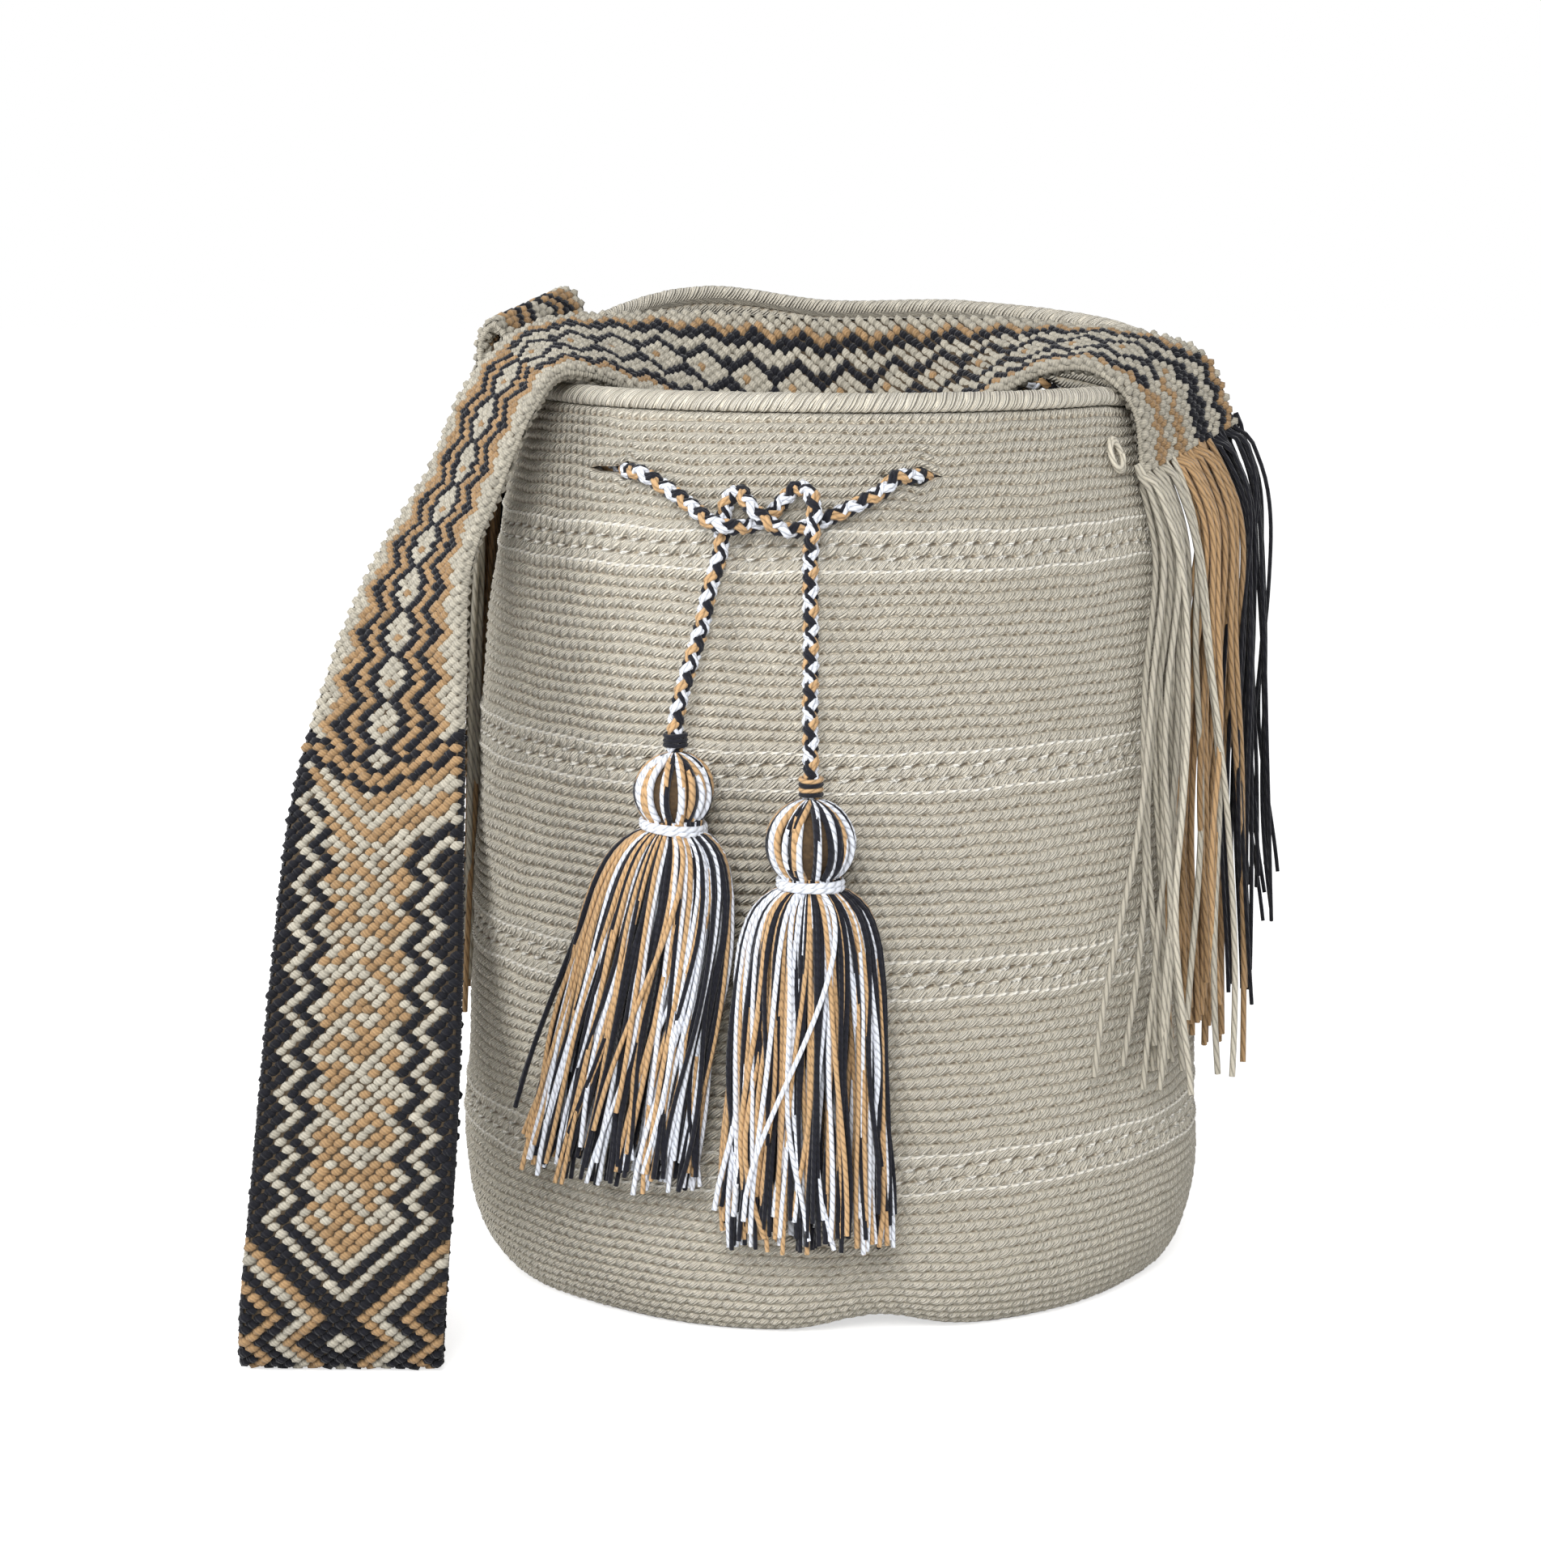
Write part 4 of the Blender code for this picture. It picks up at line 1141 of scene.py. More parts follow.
# The strap: knots in a staggered lattice on both faces, over a thin core
strap = {
    "width": 0.062,
    "core": 0.0023,
    "coreWidth": 0.0590,
    "knotsAcross": 14,
    "rowPitch": 0.00190,
    "lowPitch": 0.00206,
    "lowZone": (0.413, 0.571),
    "fold": 0.571,
    "endZone": 0.026,
    "knotLong": 0.00230,
    "knotWide": 0.00158,
    "knotShade": 0.62,
    "knotTall": 0.00145,
    "knotTurn": 17.0,
    "edgeSize": (0.0017, 0.0013, 0.0011),
    "edgePlace": 6.9,
    "halfStep": 0.0009,
    "spread": 0.985,
    "driftAcross": 0.00014,
    "driftAlong": 0.00012,
    "driftTurn": 0.12,
    "driftFacing": 0.12,
    "driftSize": 0.05,
    "driftHeight": 0.08,
    "driftTone": 0.07,
    "patternPitch": 0.0019,
    "creamPeriod": 0.0152,
    "creamPhase": 0.1304,
    "ovalHeight": 1.4,
    "middleReach": (0.0008, 0.0030),
    "middleHalf": 0.3,
    "mouthStart": 0.243,
    "mouthHeight": 1.5,
    "crossPlace": 0.397,
    "crossSlope": 0.95,
    "crossEnd": 4.8,
    "toothStart": 0.4125,
    "toothSlope": 0.0075,
    "toothEdge": 2.5,
    "toothMixed": 3.4,
    "toothMixShare": 0.30,
    "toothPeriod": 0.01236,
    "toothPhase": 0.4735,
    "toothHeight": 1.5,
    "chevronStart": 0.5245,
    "chevronPitch": 0.00195,
    "backToothPhase": 0.004,
    "backToothEnd": 0.075,
    "seed": 11,
}


# where each place is measured from, then the near and the far edge
strapEdges = [
    (onWall, (66, 0.0040, -0.028), (91, 0.0250, -0.017)),
    (byMouth, (66, 0.0075, -0.006), (96, 0.0170, 0.003)),
    (byMouth, (63, -0.0030, 0.0045), (100, -0.0010, 0.0065)),
    (inMouth, (0.72, -0.40, 0.003), (0.93, 0.24, 0.0138)),
    (inMouth, (0.00, -0.30, -0.030), (0.00, 0.14, 0.018)),
    (inMouth, (-0.64, -0.40, -0.004), (-0.75, 0.18, 0.0175)),
    (byMouth, (-57, 0.0060, 0.0045), (-89, 0.0010, 0.0145)),
    (byMouth, (-52, 0.0240, -0.006), (-81, 0.0210, -0.001)),
    (onWall, (-52, 0.0275, -0.029), (-78, 0.0265, -0.028)),
    (byFloor, (-0.912, -0.787, 0.8205), (-1.192, -0.373, 0.8005)),
    (byFloor, (-0.910, -0.928, 0.7005), (-1.307, -0.597, 0.6800)),
    (byFloor, (-0.911, -1.036, 0.5805), (-1.369, -0.812, 0.5640)),
    (byFloor, (-0.914, -1.143, 0.4195), (-1.397, -1.011, 0.4080)),
    (byFloor, (-0.934, -1.218, 0.2140), (-1.432, -1.176, 0.2125)),
    (byFloor, (-0.955, -1.248, 0.0650), (-1.470, -1.238, 0.0650)),
    (byFloor, (-0.965, -1.180, 0.0095), (-1.480, -1.170, 0.0095)),
    (byFloor, (-0.965, -1.090, 0.0500), (-1.478, -1.070, 0.0500)),
    (byFloor, (-0.965, -0.840, 0.1750), (-1.470, -0.820, 0.1750)),
    (byFloor, (-0.980, -0.500, 0.3500), (-1.440, -0.330, 0.3500)),
    (byFloor, (-1.005, -0.240, 0.5300), (-1.310, 0.150, 0.5300)),
    (byFloor, (-1.020, -0.030, 0.7000), (-1.120, 0.460, 0.7000)),
    (onWall, (-93, 0.0220, -0.034), (-125, 0.0225, -0.030)),
    (onWall, (-95, 0.0220, -0.022), (-128, 0.0220, -0.013)),
    (byMouth, (-95, 0.0208, -0.002), (-128, 0.0208, -0.0095)),
    (byMouth, (-95, 0.0196, 0.0095), (-128, 0.0196, 0.0015)),
    (byMouth, (-95, 0.0150, 0.0142), (-128, 0.0150, 0.0062)),
    (byMouth, (-95, 0.0104, 0.0095), (-128, 0.0104, 0.0015)),
    (byMouth, (-95, 0.0096, -0.001), (-128, 0.0096, -0.009)),
    (onWall, (-95, 0.0148, -0.0130), (-128, 0.0148, -0.004)),
    (onWall, (-95, 0.0150, -0.0220), (-128, 0.0150, -0.013)),
]


def strapFrames():
    near, far = (curveThrough([row[0](*row[edge]) for row in strapEdges], 40) for edge in (1, 2))
    near, far = np.array([tuple(p) for p in near]), np.array([tuple(p) for p in far])
    centres = (near + far) / 2
    return runLength(centres), centres, unit(far - near)


strapReach, strapCentres, strapAcross = strapFrames()


def strapAt(reach):
    def read(table, places):
        return np.stack([np.interp(places, strapReach, table[:, axis]) for axis in range(3)], -1)

    low, high = (np.clip(reach + way * strap["halfStep"], 0, strapReach[-1]) for way in (-1, 1))
    along = unit(read(strapCentres, high) - read(strapCentres, low))
    across = unit(read(strapAcross, reach))
    return read(strapCentres, reach), along, across, unit(np.cross(across, along))


def wave(reach, phase, period, height):
    # height at the phase and at each period from it, 0 half way between
    share = np.abs(np.mod((reach - phase) / period + 0.5, 1.0) - 0.5) * 2.0
    return height * (1.0 - share)


def ovals(reach, away, height, bands):
    # a chain of ovals down the middle, each with one tan knot in its lower half
    period, (low, high) = strap["creamPeriod"], strap["middleReach"]
    below = (reach - strap["creamPhase"] + 0.5 * period) % period - 0.5 * period
    if away < strap["middleHalf"] and low < below < high:
        return "tan"
    return banded(away - wave(reach, strap["creamPhase"], period, height), bands)


def teeth(place, phase, away):
    return banded(away - wave(place, phase, strap["toothPeriod"], strap["toothHeight"]), toothBands)


def banded(t, bands):
    for limit, tone in bands:
        if t < limit:
            return tone
    return bands[-1][1]


# knots from the middle or the motif's edge up to which a tone holds
ovalBands = [(0.05, "cream"), (1.15, "black"), (2.15, "tan"), (3.35, "black"), (4.7, "tan"), (99, "cream")]
mouthBands = [(0.2, "cream"), (1.5, "black"), (2.8, "cream"), (3.9, "black"), (4.8, "tan"), (99, "cream")]
toothBands = [
    (-0.95, "tan"), (0.4, "cream"), (1.4, "tan"), (2.2, "cream"), (3.8, "black"), (4.8, "cream"),
    (99, "black"),
]
chevronBands = [
    (-6.0, "mottled"), (-4.6, "tan"), (-3.4, "cream"), (-2.2, "black"), (-0.8, "cream"), (1.0, "black"),
    (2.0, "tan"), (3.0, "cream"), (4.3, "black"), (5.3, "tan"), (99, "black"),
]
crossBands = [
    (-14.2, "black"), (-12.4, "cream"), (-10.4, "black"), (-7.8, "cream"), (-5.0, "tan"), (-2.4, "cream"),
    (0.0, "tan"), (1.6, "black"), (3.4, "tan"), (4.8, "black"),
]
endBands = [
    (-5.0, "cream"), (-3.5, "tan"), (-2.2, "cream"), (-0.8, "tan"), (0.8, "cream"), (3.0, "black"),
    (4.4, "cream"), (5.6, "black"), (6.4, "tan"), (99, "cream"),
]


def strapTone(reach, knot, chance):
    away = abs(knot)
    pitch = strap["patternPitch"]
    if reach > strap["fold"]:
        back = reach - strap["fold"]
        if back < strap["backToothEnd"]:
            tone = teeth(back, strap["backToothPhase"], away)
        else:
            tone = ovals(reach, away, strap["ovalHeight"], ovalBands)
    elif reach > strap["chevronStart"]:
        up = (strap["fold"] - reach) / strap["chevronPitch"]
        zig = 0.5 * abs((up - 10.0 + 4.0) % 8.0 - 4.0) if up < 10 else 0.5 * (up - 10.0)
        tone = banded(away - zig, chevronBands)
    elif reach < strap["endZone"]:
        tone = banded(knot + 0.3 * math.sin(reach * 900.0), endBands)
    elif reach > strap["toothStart"] - strap["toothSlope"] * max(0.0, knot - strap["toothEdge"]):
        tone = teeth(reach, strap["toothPhase"], away)
        mixed = away < strap["toothMixed"] and chance < strap["toothMixShare"]
        if mixed and tone in ("cream", "tan"):
            tone = "cream" if tone == "tan" else "tan"
    else:
        cross = (strap["crossPlace"] - reach) / pitch - strap["crossSlope"] * away
        if cross < strap["crossEnd"]:
            tone = "mottled" if knot > 0 and cross < 0.0 else banded(cross, crossBands)
        elif reach > strap["mouthStart"]:
            tone = ovals(reach, away, strap["ovalHeight"], ovalBands)
        else:
            tone = ovals(reach, away, strap["mouthHeight"], mouthBands)
    if tone == "mottled":
        tone = "cream" if (int(round(knot * 2)) + int(reach / pitch)) % 4 < 2 else "tan"
    return tone


def knotMesh():
    # a low dome with its own coordinates for the turns of yarn on it
    points = []
    for count, radius, height in ((8, 1.0, -0.25), (4, 0.66, 0.86)):
        for step in range(count):
            turn = math.pi * step / (count / 2)
            points.append((radius * math.cos(turn), radius * math.sin(turn), height))
    faces = []
    for step in range(4):
        faces.append((2 * step, 2 * step + 1, 8 + step))
        faces.append((2 * step + 1, (2 * step + 2) % 8, 8 + (step + 1) % 4, 8 + step))
    faces.append((8, 9, 10, 11))
    mesh = bpy.data.meshes.new("knot")
    mesh.from_pydata(points, [], faces)
    layer = mesh.uv_layers.new(name="knot")
    spots = [points[loop.vertex_index][:2] for loop in mesh.loops]
    layer.data.foreach_set("uv", np.array(spots, "f").ravel())
    return bpy.data.objects.new("knot", mesh)


def makeKnotTree():
    inputs = {"Geometry": "Geometry", "Knot": "Object", "Size": 1.0, "Material": "Material"}
    tree, given, end = newGroup("knotRows", "GeometryNodeTree", inputs, {"Geometry": "Geometry"})
    shape = newWire(tree, "GeometryNodeObjectInfo", {"Object": given["Knot"]}, "Geometry")
    names = ("facing", "heading", "size")
    facing, heading, size = (readAttribute(tree, name, "FLOAT_VECTOR") for name in names)
    axes = {"primary_axis": "Z", "secondary_axis": "X"}
    turn = {"Primary Axis": facing, "Secondary Axis": heading}
    turn = newWire(tree, "FunctionNodeAxesToRotation", turn, **axes)
    size = newWire(tree, "ShaderNodeVectorMath", {0: size, "Scale": given["Size"]}, operation="SCALE")
    spread = {"Points": given["Geometry"], "Instance": shape, "Rotation": turn, "Scale": size}
    spread = newWire(tree, "GeometryNodeInstanceOnPoints", spread)
    return finishShape(tree, spread, given["Material"], end)


def knotMaterial():
    made, tree, shader = newMaterial("knotted_yarn", 0.9, 0.12)
    x, y, _ = parts(tree, newWire(tree, "ShaderNodeUVMap", uv_map="knot"))
    ply = ((x * 1.9 + y * 0.8) * (2 * math.pi)).math("SINE") * 0.5 + 0.5
    rim = (x * x + y * y).math("SQRT")
    fibre = noiseAt(tree, 1500.0, 2.0)
    # painted shade: each knot is darker towards its rim, where it meets the next knots, and in its ply
    # grooves; the fibre noise is the yarn's own tone
    tintBase(tree, shader, ply * 0.28 + 0.76 - rim.between(0.60, 0.98) * 0.50 + fibre * 0.16)
    addBump(tree, shader, ply * 0.7 + fibre * 0.5, 0.00028)
    return made


def strapRows():
    rows, reach = [], 0.0015
    while reach < strapReach[-1] - 0.0012:
        rows.append(reach)
        low, high = strap["lowZone"]
        reach += strap["lowPitch"] if low < reach < high else strap["rowPitch"]
    return np.array(rows)


def knotTint(tone, jitter):
    # painted shade: the strap's yarns are darkened as a whole to .62 of the same yarns on the tassels and
    # the cord, with a random drift per knot
    shade = strap["knotShade"] * (1.0 + strap["driftTone"] * jitter)
    return (*(np.array(yarnTones[tone]) * shade), 1.0)


def makeStrap():
    rng = np.random.default_rng(strap["seed"])
    rows = strapRows()
    centre, along, across, face = strapAt(rows)
    pitch = strap["width"] / strap["knotsAcross"]
    lean = math.radians(strap["knotTurn"])
    knot = link(knotMesh())
    knot.hide_render = True
    tree, paint = makeKnotTree(), knotMaterial()
    for side, name in ((1, "strapFront"), (-1, "strapBack")):
        points, facing, heading, size, tint = [], [], [], [], []
        for index, reach in enumerate(rows):
            odd = index % 2
            count = strap["knotsAcross"] - odd
            for step in range(count):
                knotPlace = (step + 0.5 + 0.5 * odd) - strap["knotsAcross"] / 2
                jitter = rng.normal(0.0, 1.0, 4)
                aside = knotPlace * pitch * strap["spread"] + jitter[0] * strap["driftAcross"]
                spot = centre[index] + across[index] * aside
                spot = spot + along[index] * jitter[1] * strap["driftAlong"]
                points.append(spot + face[index] * side * strap["core"] / 2)
                turn = lean + jitter[2] * strap["driftTurn"]
                facing.append(face[index] * side + across[index] * strap["driftFacing"] * jitter[3])
                heading.append(across[index] * math.cos(turn) + along[index] * math.sin(turn))
                grow = 1.0 + strap["driftSize"] * jitter[3]
                tall = strap["knotTall"] * (1 + strap["driftHeight"] * jitter[0])
                size.append((strap["knotLong"] * grow, strap["knotWide"] * grow, tall))
                tone = strapTone(reach, knotPlace, rng.random())
                tint.append(knotTint(tone, jitter[1]))
            # the edge cord
            outwards = across[index] * side
            points.append(centre[index] + outwards * (strap["coreWidth"] / 2 - 0.0002))
            facing.append(outwards)
            heading.append(along[index] + face[index] * 0.5)
            size.append(strap["edgeSize"])
            tint.append(knotTint(strapTone(reach, strap["edgePlace"], 1.0), rng.normal()))
        mesh = bpy.data.meshes.new(name)
        mesh.from_pydata([tuple(point) for point in points], [], [])
        for label, values in (("facing", facing), ("heading", heading), ("size", size)):
            writeAttribute(mesh, label, "FLOAT_VECTOR", values)
        writeAttribute(mesh, "tint", "FLOAT_COLOR", tint)
        piece = link(bpy.data.objects.new(name, mesh))
        runTree(piece, tree, {"Knot": knot, "Size": 1.0, "Material": paint})
        place(piece, ["strap"], "patterned_band")
        print("made", name, len(piece.data.polygons), "faces")
    bpy.data.objects.remove(knot)
    makeStrapCore(rows)


def makeStrapCore(rows):
    centre, _, across, face = strapAt(rows[::3])
    half, thick = strap["coreWidth"] / 2, strap["core"] / 2
    flat = half - thick
    outline = [(half, 0.0), (flat, -thick), (-flat, -thick), (-half, 0.0), (-flat, thick), (flat, thick)]
    points = [c + w * x + f * y for c, w, f in zip(centre, across, face) for x, y in outline]
    # the core is painted dark as shade, so the gaps between the knots read as shadow
    dark, pale = (0.035, 0.026, 0.018, 1.0), (0.11, 0.08, 0.05, 1.0)
    paint = paintedShadeMaterial("strap_core_yarn", 900.0, dark, pale, 0.0003)
    mesh = ringedMesh("strapCore", points, len(outline), 1, paint)
    place(link(bpy.data.objects.new("strapCore", mesh)), ["strap"], "patterned_band")


makeStrap()


# The tassels: a wrapped head, a bound neck and a skirt of loose yarn
tassel = {
    "skirtLength": 0.104,
    "skirtRadius": 0.012,
    "shoulder": 0.0215,
    "neckRadius": 0.0085,
    "bindingRadius": 0.0015,
    "yarnRadius": 0.00080,
    "headYarn": 0.00108,
    "headYarns": 46,
    "skirtYarns": 250,
    "outerShare": 0.72,
    "steps": 20,
    "coreSides": 20,
    "coreShare": 0.84,
    "seed": 5,
}

# where each foot is and how wide, how many yarns are dark at the front, how the binding tilts, the
# whipping's tones, and the yarns that stray over the skirt: place at the neck, place at the foot,
# share of the length, tone
tasselSides = {
    "left": {
        "ball": leftBall,
        "foot": (-31.5, 0.031),
        "darkShare": 0.5,
        "tilt": 0.13,
        "whipping": ("black", "black", "black"),
        "strays": [
            (-0.9, -0.3, -1.25, -0.2, 0.82, "black"), (-0.85, 0.3, -1.18, 0.1, 0.88, "black"),
            (0.1, 1.0, 0.35, 1.12, 0.80, "tan"), (0.5, 1.0, 0.12, 1.15, 0.86, "tan"),
        ],
    },
    "right": {
        "ball": rightBall,
        "foot": (-4.0, 0.0255),
        "darkShare": 0.08,
        "tilt": 0.04,
        "whipping": ("black", "tan", "black", "tan"),
        "strays": [
            (0.42, 1.05, -0.62, 1.25, 0.93, "white"), (-0.35, 1.0, -0.55, 1.1, 0.97, "white"),
            (0.25, 1.0, 0.45, 1.1, 0.97, "tan"),
        ],
    },
}


def roundBall(ball, radius, turn, height):
    across, deep = radius * math.cos(turn), radius * math.sin(turn)
    return hung(ball["angle"], ballStandoff(ball), across, deep, height)


def neckTop(ball):
    turn = math.pi - math.asin(tassel["neckRadius"] / ball["radius"])
    return ball["height"] + ball["radius"] * math.cos(turn)


def headYarns(ball, rng):
    strands = []
    inset = ball["radius"] - tassel["headYarn"] * 0.7
    start = math.radians(9.0)
    end = math.pi - math.asin((tassel["neckRadius"] - 0.0006) / inset)
    run = mixedTones(tassel["headYarns"], rng)
    for index in range(tassel["headYarns"]):
        around = 2 * math.pi * (index + 0.18 * rng.normal()) / tassel["headYarns"]
        skew = 0.18 * rng.normal()
        line = []
        for turn in np.linspace(start, end, 13):
            radius = inset * math.sin(turn) + 0.0003 * math.sin(turn * 3 + index)
            angle = around + skew * math.sin(turn)
            line.append(roundBall(ball, radius, angle, ball["height"] + inset * math.cos(turn)))
        line.append(line[-1] + Vector((0.0, 0.0, -0.003)))
        strands.append((line, tassel["headYarn"], yarnTones[run[index]]))
    return strands


def mixedTones(count, rng):
    # short runs of a tone, and never the same tone in two runs that follow each other
    tones = []
    while len(tones) < count:
        left = [tone for tone in ("white", "tan", "black") if not tones or tone != tones[-1]]
        tones += [left[rng.integers(len(left))]] * int(rng.integers(1, 3))
    return tones


# how fast the skirt widens below its neck
skirtShares = (0.0, 0.015, 0.04, 0.07, 0.11, 0.18, 0.30, 1.0)
skirtSwell = (0.06, 0.30, 0.52, 0.68, 0.80, 0.91, 0.98, 1.0)


def skirtLine(ball, foot, u, v, u2, v2, length, rng, wobble=1.0):
    top = neckTop(ball) - 2.4 * tassel["bindingRadius"]
    out = ballStandoff(ball)
    footAngle, footWidth = foot
    first, second = rng.uniform(0, 6.28, 2)
    sway = wobble * rng.normal(0.0, 0.0017)
    line = []
    for share in np.concatenate(((-0.035,), np.linspace(0.0, 1.0, tassel["steps"]) ** 1.5)):
        low = max(0.0, share)
        swell = float(np.interp(low, skirtShares, skirtSwell))
        halfWidth = mix(tassel["neckRadius"] - 0.0008, tassel["shoulder"], swell)
        halfWidth += (footWidth - tassel["shoulder"]) * low
        halfDepth = mix(tassel["neckRadius"] - 0.0008, tassel["skirtRadius"], min(1.0, swell * 1.2))
        centre = mix(out, tassel["skirtRadius"] + drawcord["standoff"], swell)
        uu, vv = mix(u, u2, smooth(low)), mix(v, v2, smooth(low))
        x = halfWidth * uu + sway * math.sin(low * 7.0 + first) * low
        y = max(halfDepth * vv, -halfDepth * 0.93) + 0.0007 * wobble * math.sin(low * 6.0 + second) * low
        angle = mix(ball["angle"], footAngle, low)
        line.append(hung(angle, centre, x, y, top - length * share))
    return line


def skirtYarns(ball, foot, rng, extra, darkShare):
    strands = []
    count = tassel["skirtYarns"]
    tones = mixedTones(count, rng)
    # most lie on the outside of the skirt, the rest fill it
    outer = count * tassel["outerShare"]
    for index in range(count):
        around = 2 * math.pi * index / outer if index < outer else rng.uniform(0, 2 * math.pi)
        radius = rng.uniform(0.88, 1.0) if index < outer else math.sqrt(rng.uniform(0.05, 0.8))
        u, v = radius * math.cos(around), radius * math.sin(around)
        turn = around + rng.normal(0.0, 0.16)
        spread = min(1.0, radius * rng.uniform(0.92, 1.04))
        u2, v2 = spread * math.cos(turn), spread * math.sin(turn)
        length = tassel["skirtLength"] * rng.uniform(0.92, 1.045)
        line = skirtLine(ball, foot, u, v, u2, v2, length, rng)
        tone = "black" if v > 0 and -0.12 < u < 0.30 and rng.random() < darkShare else tones[index]
        strands.append((line, tassel["yarnRadius"] * rng.uniform(0.90, 1.10), yarnTones[tone]))
    for u, v, u2, v2, share, tone in extra:
        line = skirtLine(ball, foot, u, v, u2, v2, tassel["skirtLength"] * share, rng, 0.3)
        strands.append((line, tassel["yarnRadius"], yarnTones[tone]))
    return strands


def headCore(name, ball):
    # a filling painted dark as shade, so no gap shows between the yarns and the gaps read as shadow
    sides, radius = tassel["coreSides"], ball["radius"] * tassel["coreShare"]
    rings = [(ball["height"] + radius * math.cos(turn), radius * math.sin(turn))
             for turn in np.linspace(0.15, math.pi - 0.75, 8)]
    low = rings[-1][0]
    rings += [(low - 0.006, 0.0066), (low - 0.030, 0.0085), (low - 0.031, 0.0004)]
    points = [roundBall(ball, reach, 2 * math.pi * side / sides, height)
              for height, reach in rings for side in range(sides)]
    dark, pale = (0.02, 0.016, 0.014, 1.0), (0.16, 0.10, 0.05, 1.0)
    paint = paintedShadeMaterial(name + "_filling", 700.0, dark, pale, 0.0004)
    mesh = ringedMesh(name, points, sides, -1, paint)
    mesh.shade_smooth()
    return link(bpy.data.objects.new(name, mesh))


def woundYarn(ball, seat, reach, radius, sag, tones, rise, tilt=0.0):
    # turns of yarn round a neck or a cord's end, one for each tone
    strands = []
    for index, tone in enumerate(tones):
        height = seat + (index - (len(tones) - 1) / 2) * rise
        line = []
        for turn in np.linspace(0.0, 2 * math.pi, 37):
            lower = sag * (math.sin(turn) * 0.6 + 0.4 * math.cos(turn * 2 + index))
            lower += tilt * reach * math.cos(turn)
            line.append(roundBall(ball, reach, turn, height - lower))
        strands.append((line, radius, yarnTones[tone]))
    return strands


def makeTassels():
    rng = np.random.default_rng(tassel["seed"])
    paint = yarnMaterial("tassel_yarn", 2.0, 0.0026, 0.00016)
    winding = yarnMaterial("winding_yarn", 2.0, 0.0030, 0.00016)
    made = []
    for side, own in tasselSides.items():
        ball = own["ball"]
        core = headCore("tasselCore_" + side, ball)
        place(core, ["tassel_" + side], "tassel_yarn")
        strands = headYarns(ball, rng)
        strands += skirtYarns(ball, own["foot"], rng, own["strays"], own["darkShare"])
        yarns = yarnPiece("tasselYarns_" + side, strands, paint)
        place(yarns, ["tassel_" + side], "tassel_yarn")
        neck = neckTop(ball) - 1.2 * tassel["bindingRadius"]
        reach = tassel["neckRadius"] + 0.00075
        bound = woundYarn(ball, neck, reach, 0.00105, 0.0009, ("white", "white"), 0.0013, own["tilt"])
        binding = yarnPiece("neckBinding_" + side, bound, winding, 6)
        place(binding, ["neck_binding_" + side], "white_yarn")
        seat = ballTop(ball) + drawcord["gap"] + drawcord["whipping"] / 2
        reach = drawcord["diameter"] / 2 + 0.0005
        wound = woundYarn(ball, seat, reach, 0.0007, 0.0003, own["whipping"], 0.0014)
        whipping = yarnPiece("cordWhipping_" + side, wound, winding, 6)
        place(whipping, ["cord_whipping_" + side], "black_yarn")
        made += [core, binding, whipping]
        print("made tassel", side, len(yarns.data.polygons), "faces")
    return made


tasselPieces = makeTassels()


# The strap's free warp ends, in bundles of one colour each
fringe = {
    "length": 0.190,
    "startWidth": 0.0054,
    "footWidth": 0.0125,
    "depth": 0.0036,
    "gap": 0.0003,
    "strays": {
        "fringe_right_1_cream": (5,),
        "fringe_right_2_cream": (15, 24),
        "fringe_right_3_tan": (-9, -14),
        "fringe_right_4_tan": (9, 15),
        "fringe_right_5_black": (-14, -21, -28, -34),
        "fringe_right_6_black": (-9, -15),
    },
    "strayOff": 14.5,
    "sway": 0.42,
    "flare": 0.55,
    "shades": (0.66, 0.88),
    "yarns": {"cream": 8, "tan": 14, "black": 13},
    "radius": {"cream": 0.00098, "tan": 0.00096, "black": 0.00068},
    "steps": 34,
    "seed": 21,
}

# colour, share along the strap's end, length, then fall share, angle and millimetres off the wall
rightFringe = [
    ("cream", 0.06, 0.99, [(0.12, 67, 5.5), (0.35, 59, 5), (0.65, 54, 5), (1.0, 51, 5)]),
    ("cream", 0.24, 1.00, [(0.12, 73, 9), (0.35, 67, 6), (0.65, 63, 5), (1.0, 60, 5)]),
    ("tan", 0.42, 0.97, [(0.12, 79, 15), (0.35, 75, 9), (0.65, 72, 6), (1.0, 70, 5)]),
    ("tan", 0.60, 1.02, [(0.12, 84, 20), (0.35, 83, 15), (0.65, 82, 9), (1.0, 80, 6)]),
    ("black", 0.78, 0.96, [(0.12, 89, 25), (0.35, 90, 22), (0.65, 91, 18), (1.0, 90, 16)]),
    ("black", 0.95, 0.86, [(0.12, 93, 29), (0.35, 96, 29), (0.65, 99, 29), (1.0, 99, 31)]),
]
leftFringe = [
    ("cream", 0.07, 0.94, [(0.08, -97, 13), (0.25, -96, 9), (0.6, -94, 7), (1.0, -93, 6)]),
    ("tan", 0.28, 1.00, [(0.08, -105, 11), (0.25, -104, 8), (0.6, -103, 6), (1.0, -103, 6)]),
    ("black", 0.50, 0.96, [(0.08, -112, 10), (0.25, -112, 8), (0.6, -112, 6), (1.0, -112, 6)]),
    ("tan", 0.72, 1.01, [(0.08, -120, 11), (0.25, -121, 8), (0.6, -122, 6), (1.0, -123, 6)]),
    ("black", 0.93, 0.90, [(0.08, -127, 13), (0.25, -129, 9), (0.6, -132, 7), (1.0, -134, 6)]),
]


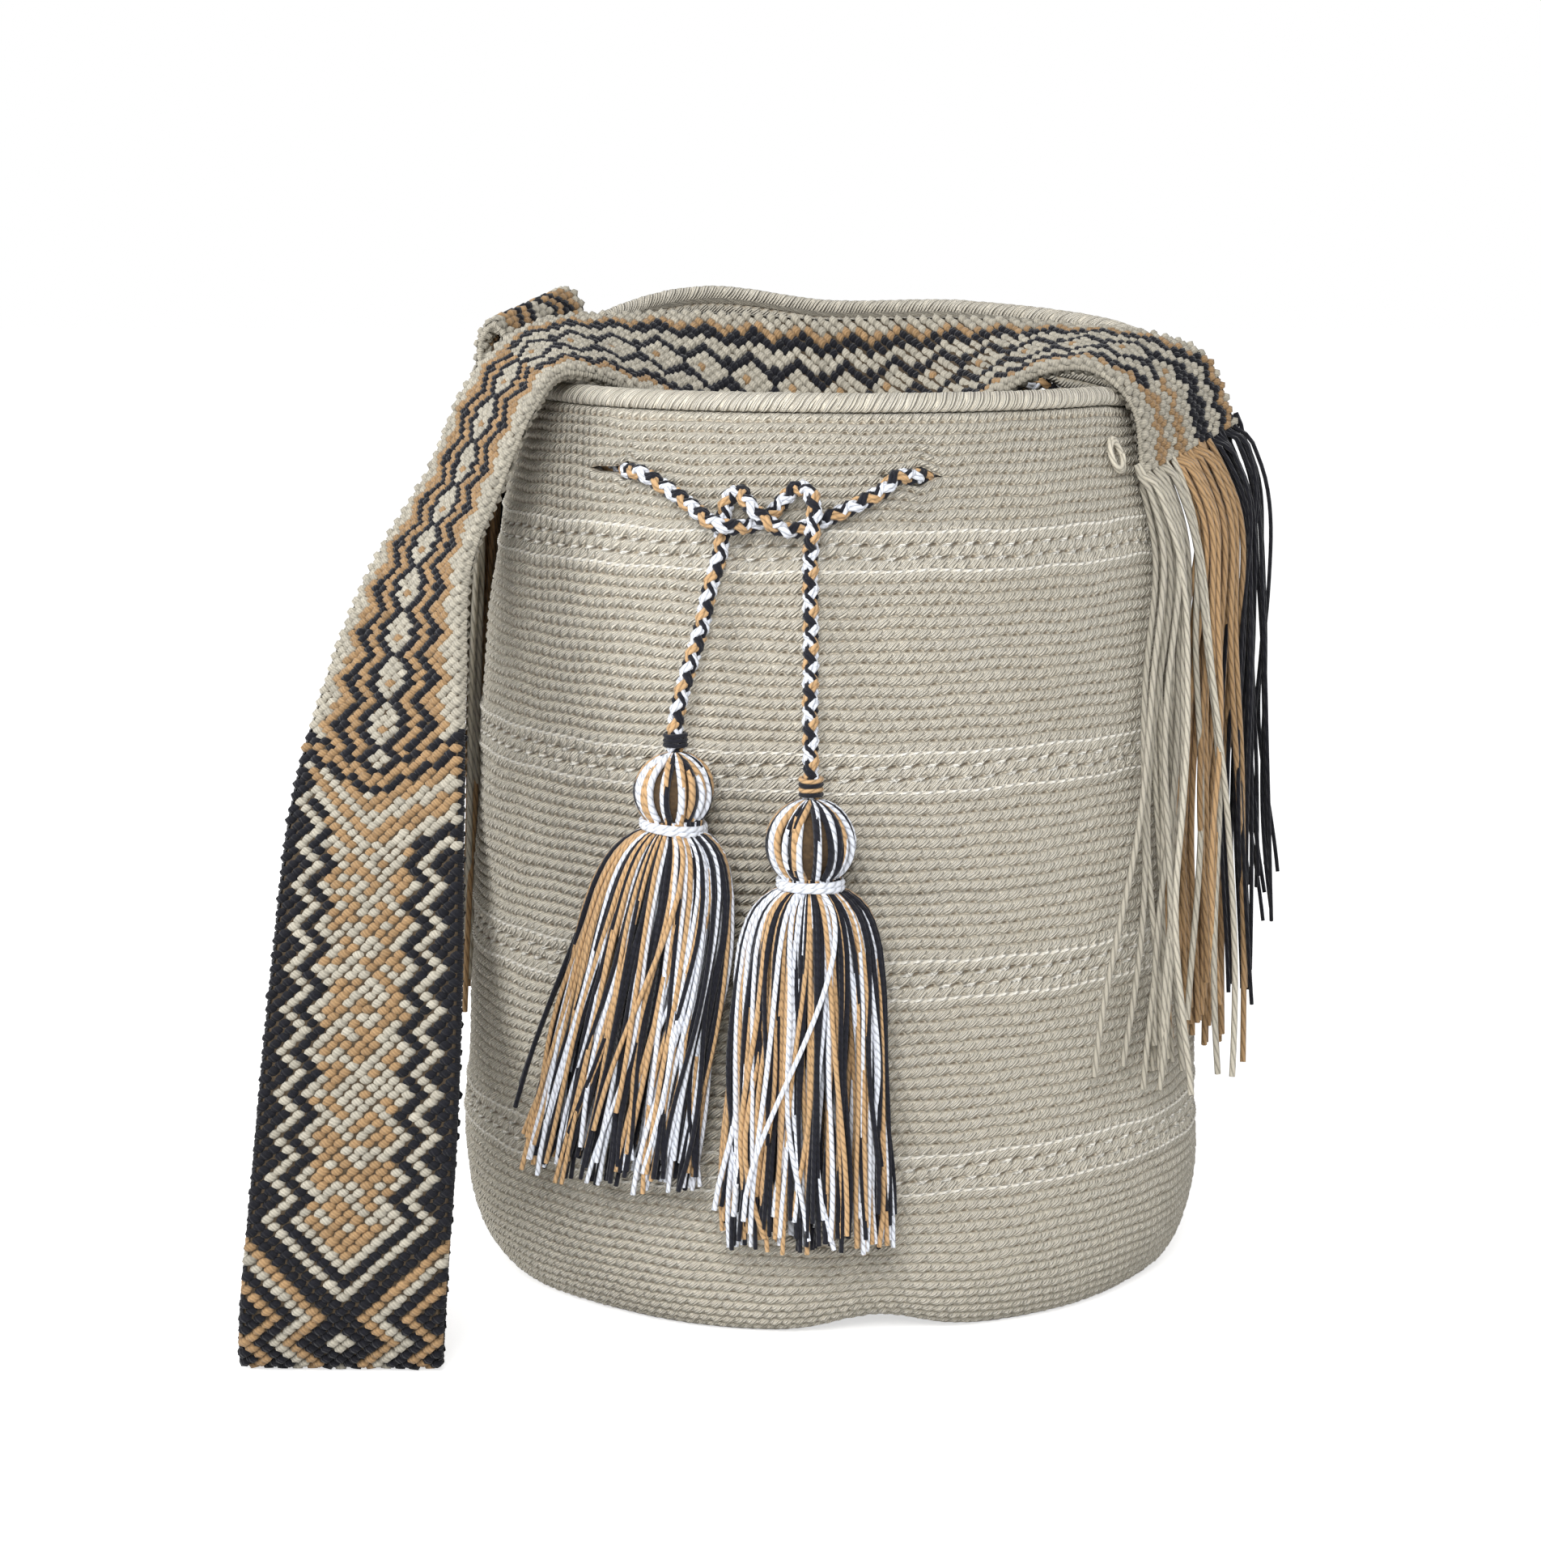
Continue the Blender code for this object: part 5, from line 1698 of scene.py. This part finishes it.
def makeBundle(name, node, tone, atRight, share, length, route, paint, rng):
    tip = np.array([0.0 if atRight else strapReach[-1]])
    centre, along, across, face = (value[0] for value in strapAt(tip))
    outwards, rightwards = (-along, across) if atRight else (along, -across)
    first = centre + across * strap["width"] * (share - 0.5) + outwards * fringe["gap"]
    angle = math.degrees(math.atan2(first[0], -first[1]))
    off = math.hypot(first[0], first[1]) - float(rowRadius(angle, wallLevel(angle, first[2])))
    stations = [Vector((angle, off * 1000, 0.0))]
    stations += [Vector((turn, far, fall * 100)) for fall, turn, far in route]
    centres = np.array([tuple(p) for p in curveThrough(stations, 12)])
    count = fringe["yarns"][tone]
    astray = fringe["strays"].get(node, ())
    strands = []
    for index in range(count):
        u = ((index + 0.5) / count - 0.5) * 2.0 + rng.normal(0.0, 0.10)
        v = math.sin(index * 2.39996) + rng.normal(0.0, 0.15)
        flare = rng.normal(0.0, fringe["flare"], 2)
        phase = rng.uniform(0, 6.28, 2)
        strayed = astray[index // 2] / 1000 if index % 2 and index // 2 < len(astray) else 0.0
        reach = length * fringe["length"] * rng.uniform(0.90, 1.02)
        line = []
        aside = rightwards * fringe["startWidth"] * u
        inner = first - outwards * 0.004 + aside + face * fringe["depth"] * 0.2 * v
        line.append(Vector(inner))
        for fall in np.linspace(0.0, 1.0, fringe["steps"]) ** 1.15:
            turn, far = (np.interp(fall * 100, centres[:, 2], centres[:, axis]) for axis in (0, 1))
            wide = mix(fringe["startWidth"], fringe["footWidth"], smooth(fall * 1.3))
            uu = u + flare[0] * fall + fringe["sway"] * smooth(fall * 4) * math.sin(fall * 7 + phase[0])
            vv = v + flare[1] * fall + 0.14 * math.sin(fall * 6 + phase[1])
            x = wide * uu + strayed * smooth(fall * 1.15)
            if strayed:
                far = mix(far, fringe["strayOff"], smooth(fall * 1.7))
            y = max(fringe["depth"] * vv, -(far / 1000) + 0.0020)
            if fall == 0.0:
                spot = Vector(first + aside + face * fringe["depth"] * 0.35 * v)
            else:
                spot = hung(turn, far / 1000, x, y, first[2] - reach * fall)
            line.append(spot)
        line, _ = evenly(curveThrough(line, 3), 0.0042)
        shade = tuple(np.array(yarnTones[tone]) * rng.uniform(*fringe["shades"]))
        strands.append((line, fringe["radius"][tone], shade))
    place(yarnPiece(name, strands, paint, 6), [node], tone + "_yarn")


def makeFringes():
    rng = np.random.default_rng(fringe["seed"])
    paint = yarnMaterial("fringe_yarn", 3.0, 0.0052, 0.00024)
    for side, atRight, bundles in (("right", True, rightFringe), ("left", False, leftFringe)):
        for index, (tone, share, length, route) in enumerate(bundles):
            node = "fringe_%s_%d_%s" % (side, index + 1, tone)
            name = "fringe%s_%d_%s" % (side.capitalize(), index + 1, tone)
            makeBundle(name, node, tone, atRight, share, length, route, paint, rng)
    print("made the fringes")


makeFringes()


# A small loop of yarn that lies on the wall beside the strap's right end
loop = {
    "angle": 59.0,
    "drop": 0.0205,
    "radius": 0.0038,
    "yarn": 0.0011,
    "gap": 0.0003,
}


def makeLoop():
    middle = float(wallHeight(loop["angle"], bag["frontHeight"] - loop["drop"]))
    line = []
    for step in range(49):
        turn = 4 * math.pi * step / 48
        radius = loop["radius"] + 0.0006 * math.sin(turn * 1.5)
        off = loop["gap"] + loop["yarn"] * (1.0 + 0.8 * step / 48)
        height = middle + radius * 1.15 * math.sin(turn)
        line.append(hung(loop["angle"], off, radius * 0.9 * math.cos(turn), 0.0, height))
    paint = yarnMaterial("loop_yarn", 3.0, 0.0052, 0.00024)
    piece = yarnPiece("anchorLoopRight", [(line, loop["yarn"] * 0.85, yarnTones["cream"])], paint, 8)
    place(piece, ["anchor_loop_right"], "white_yarn")


makeLoop()
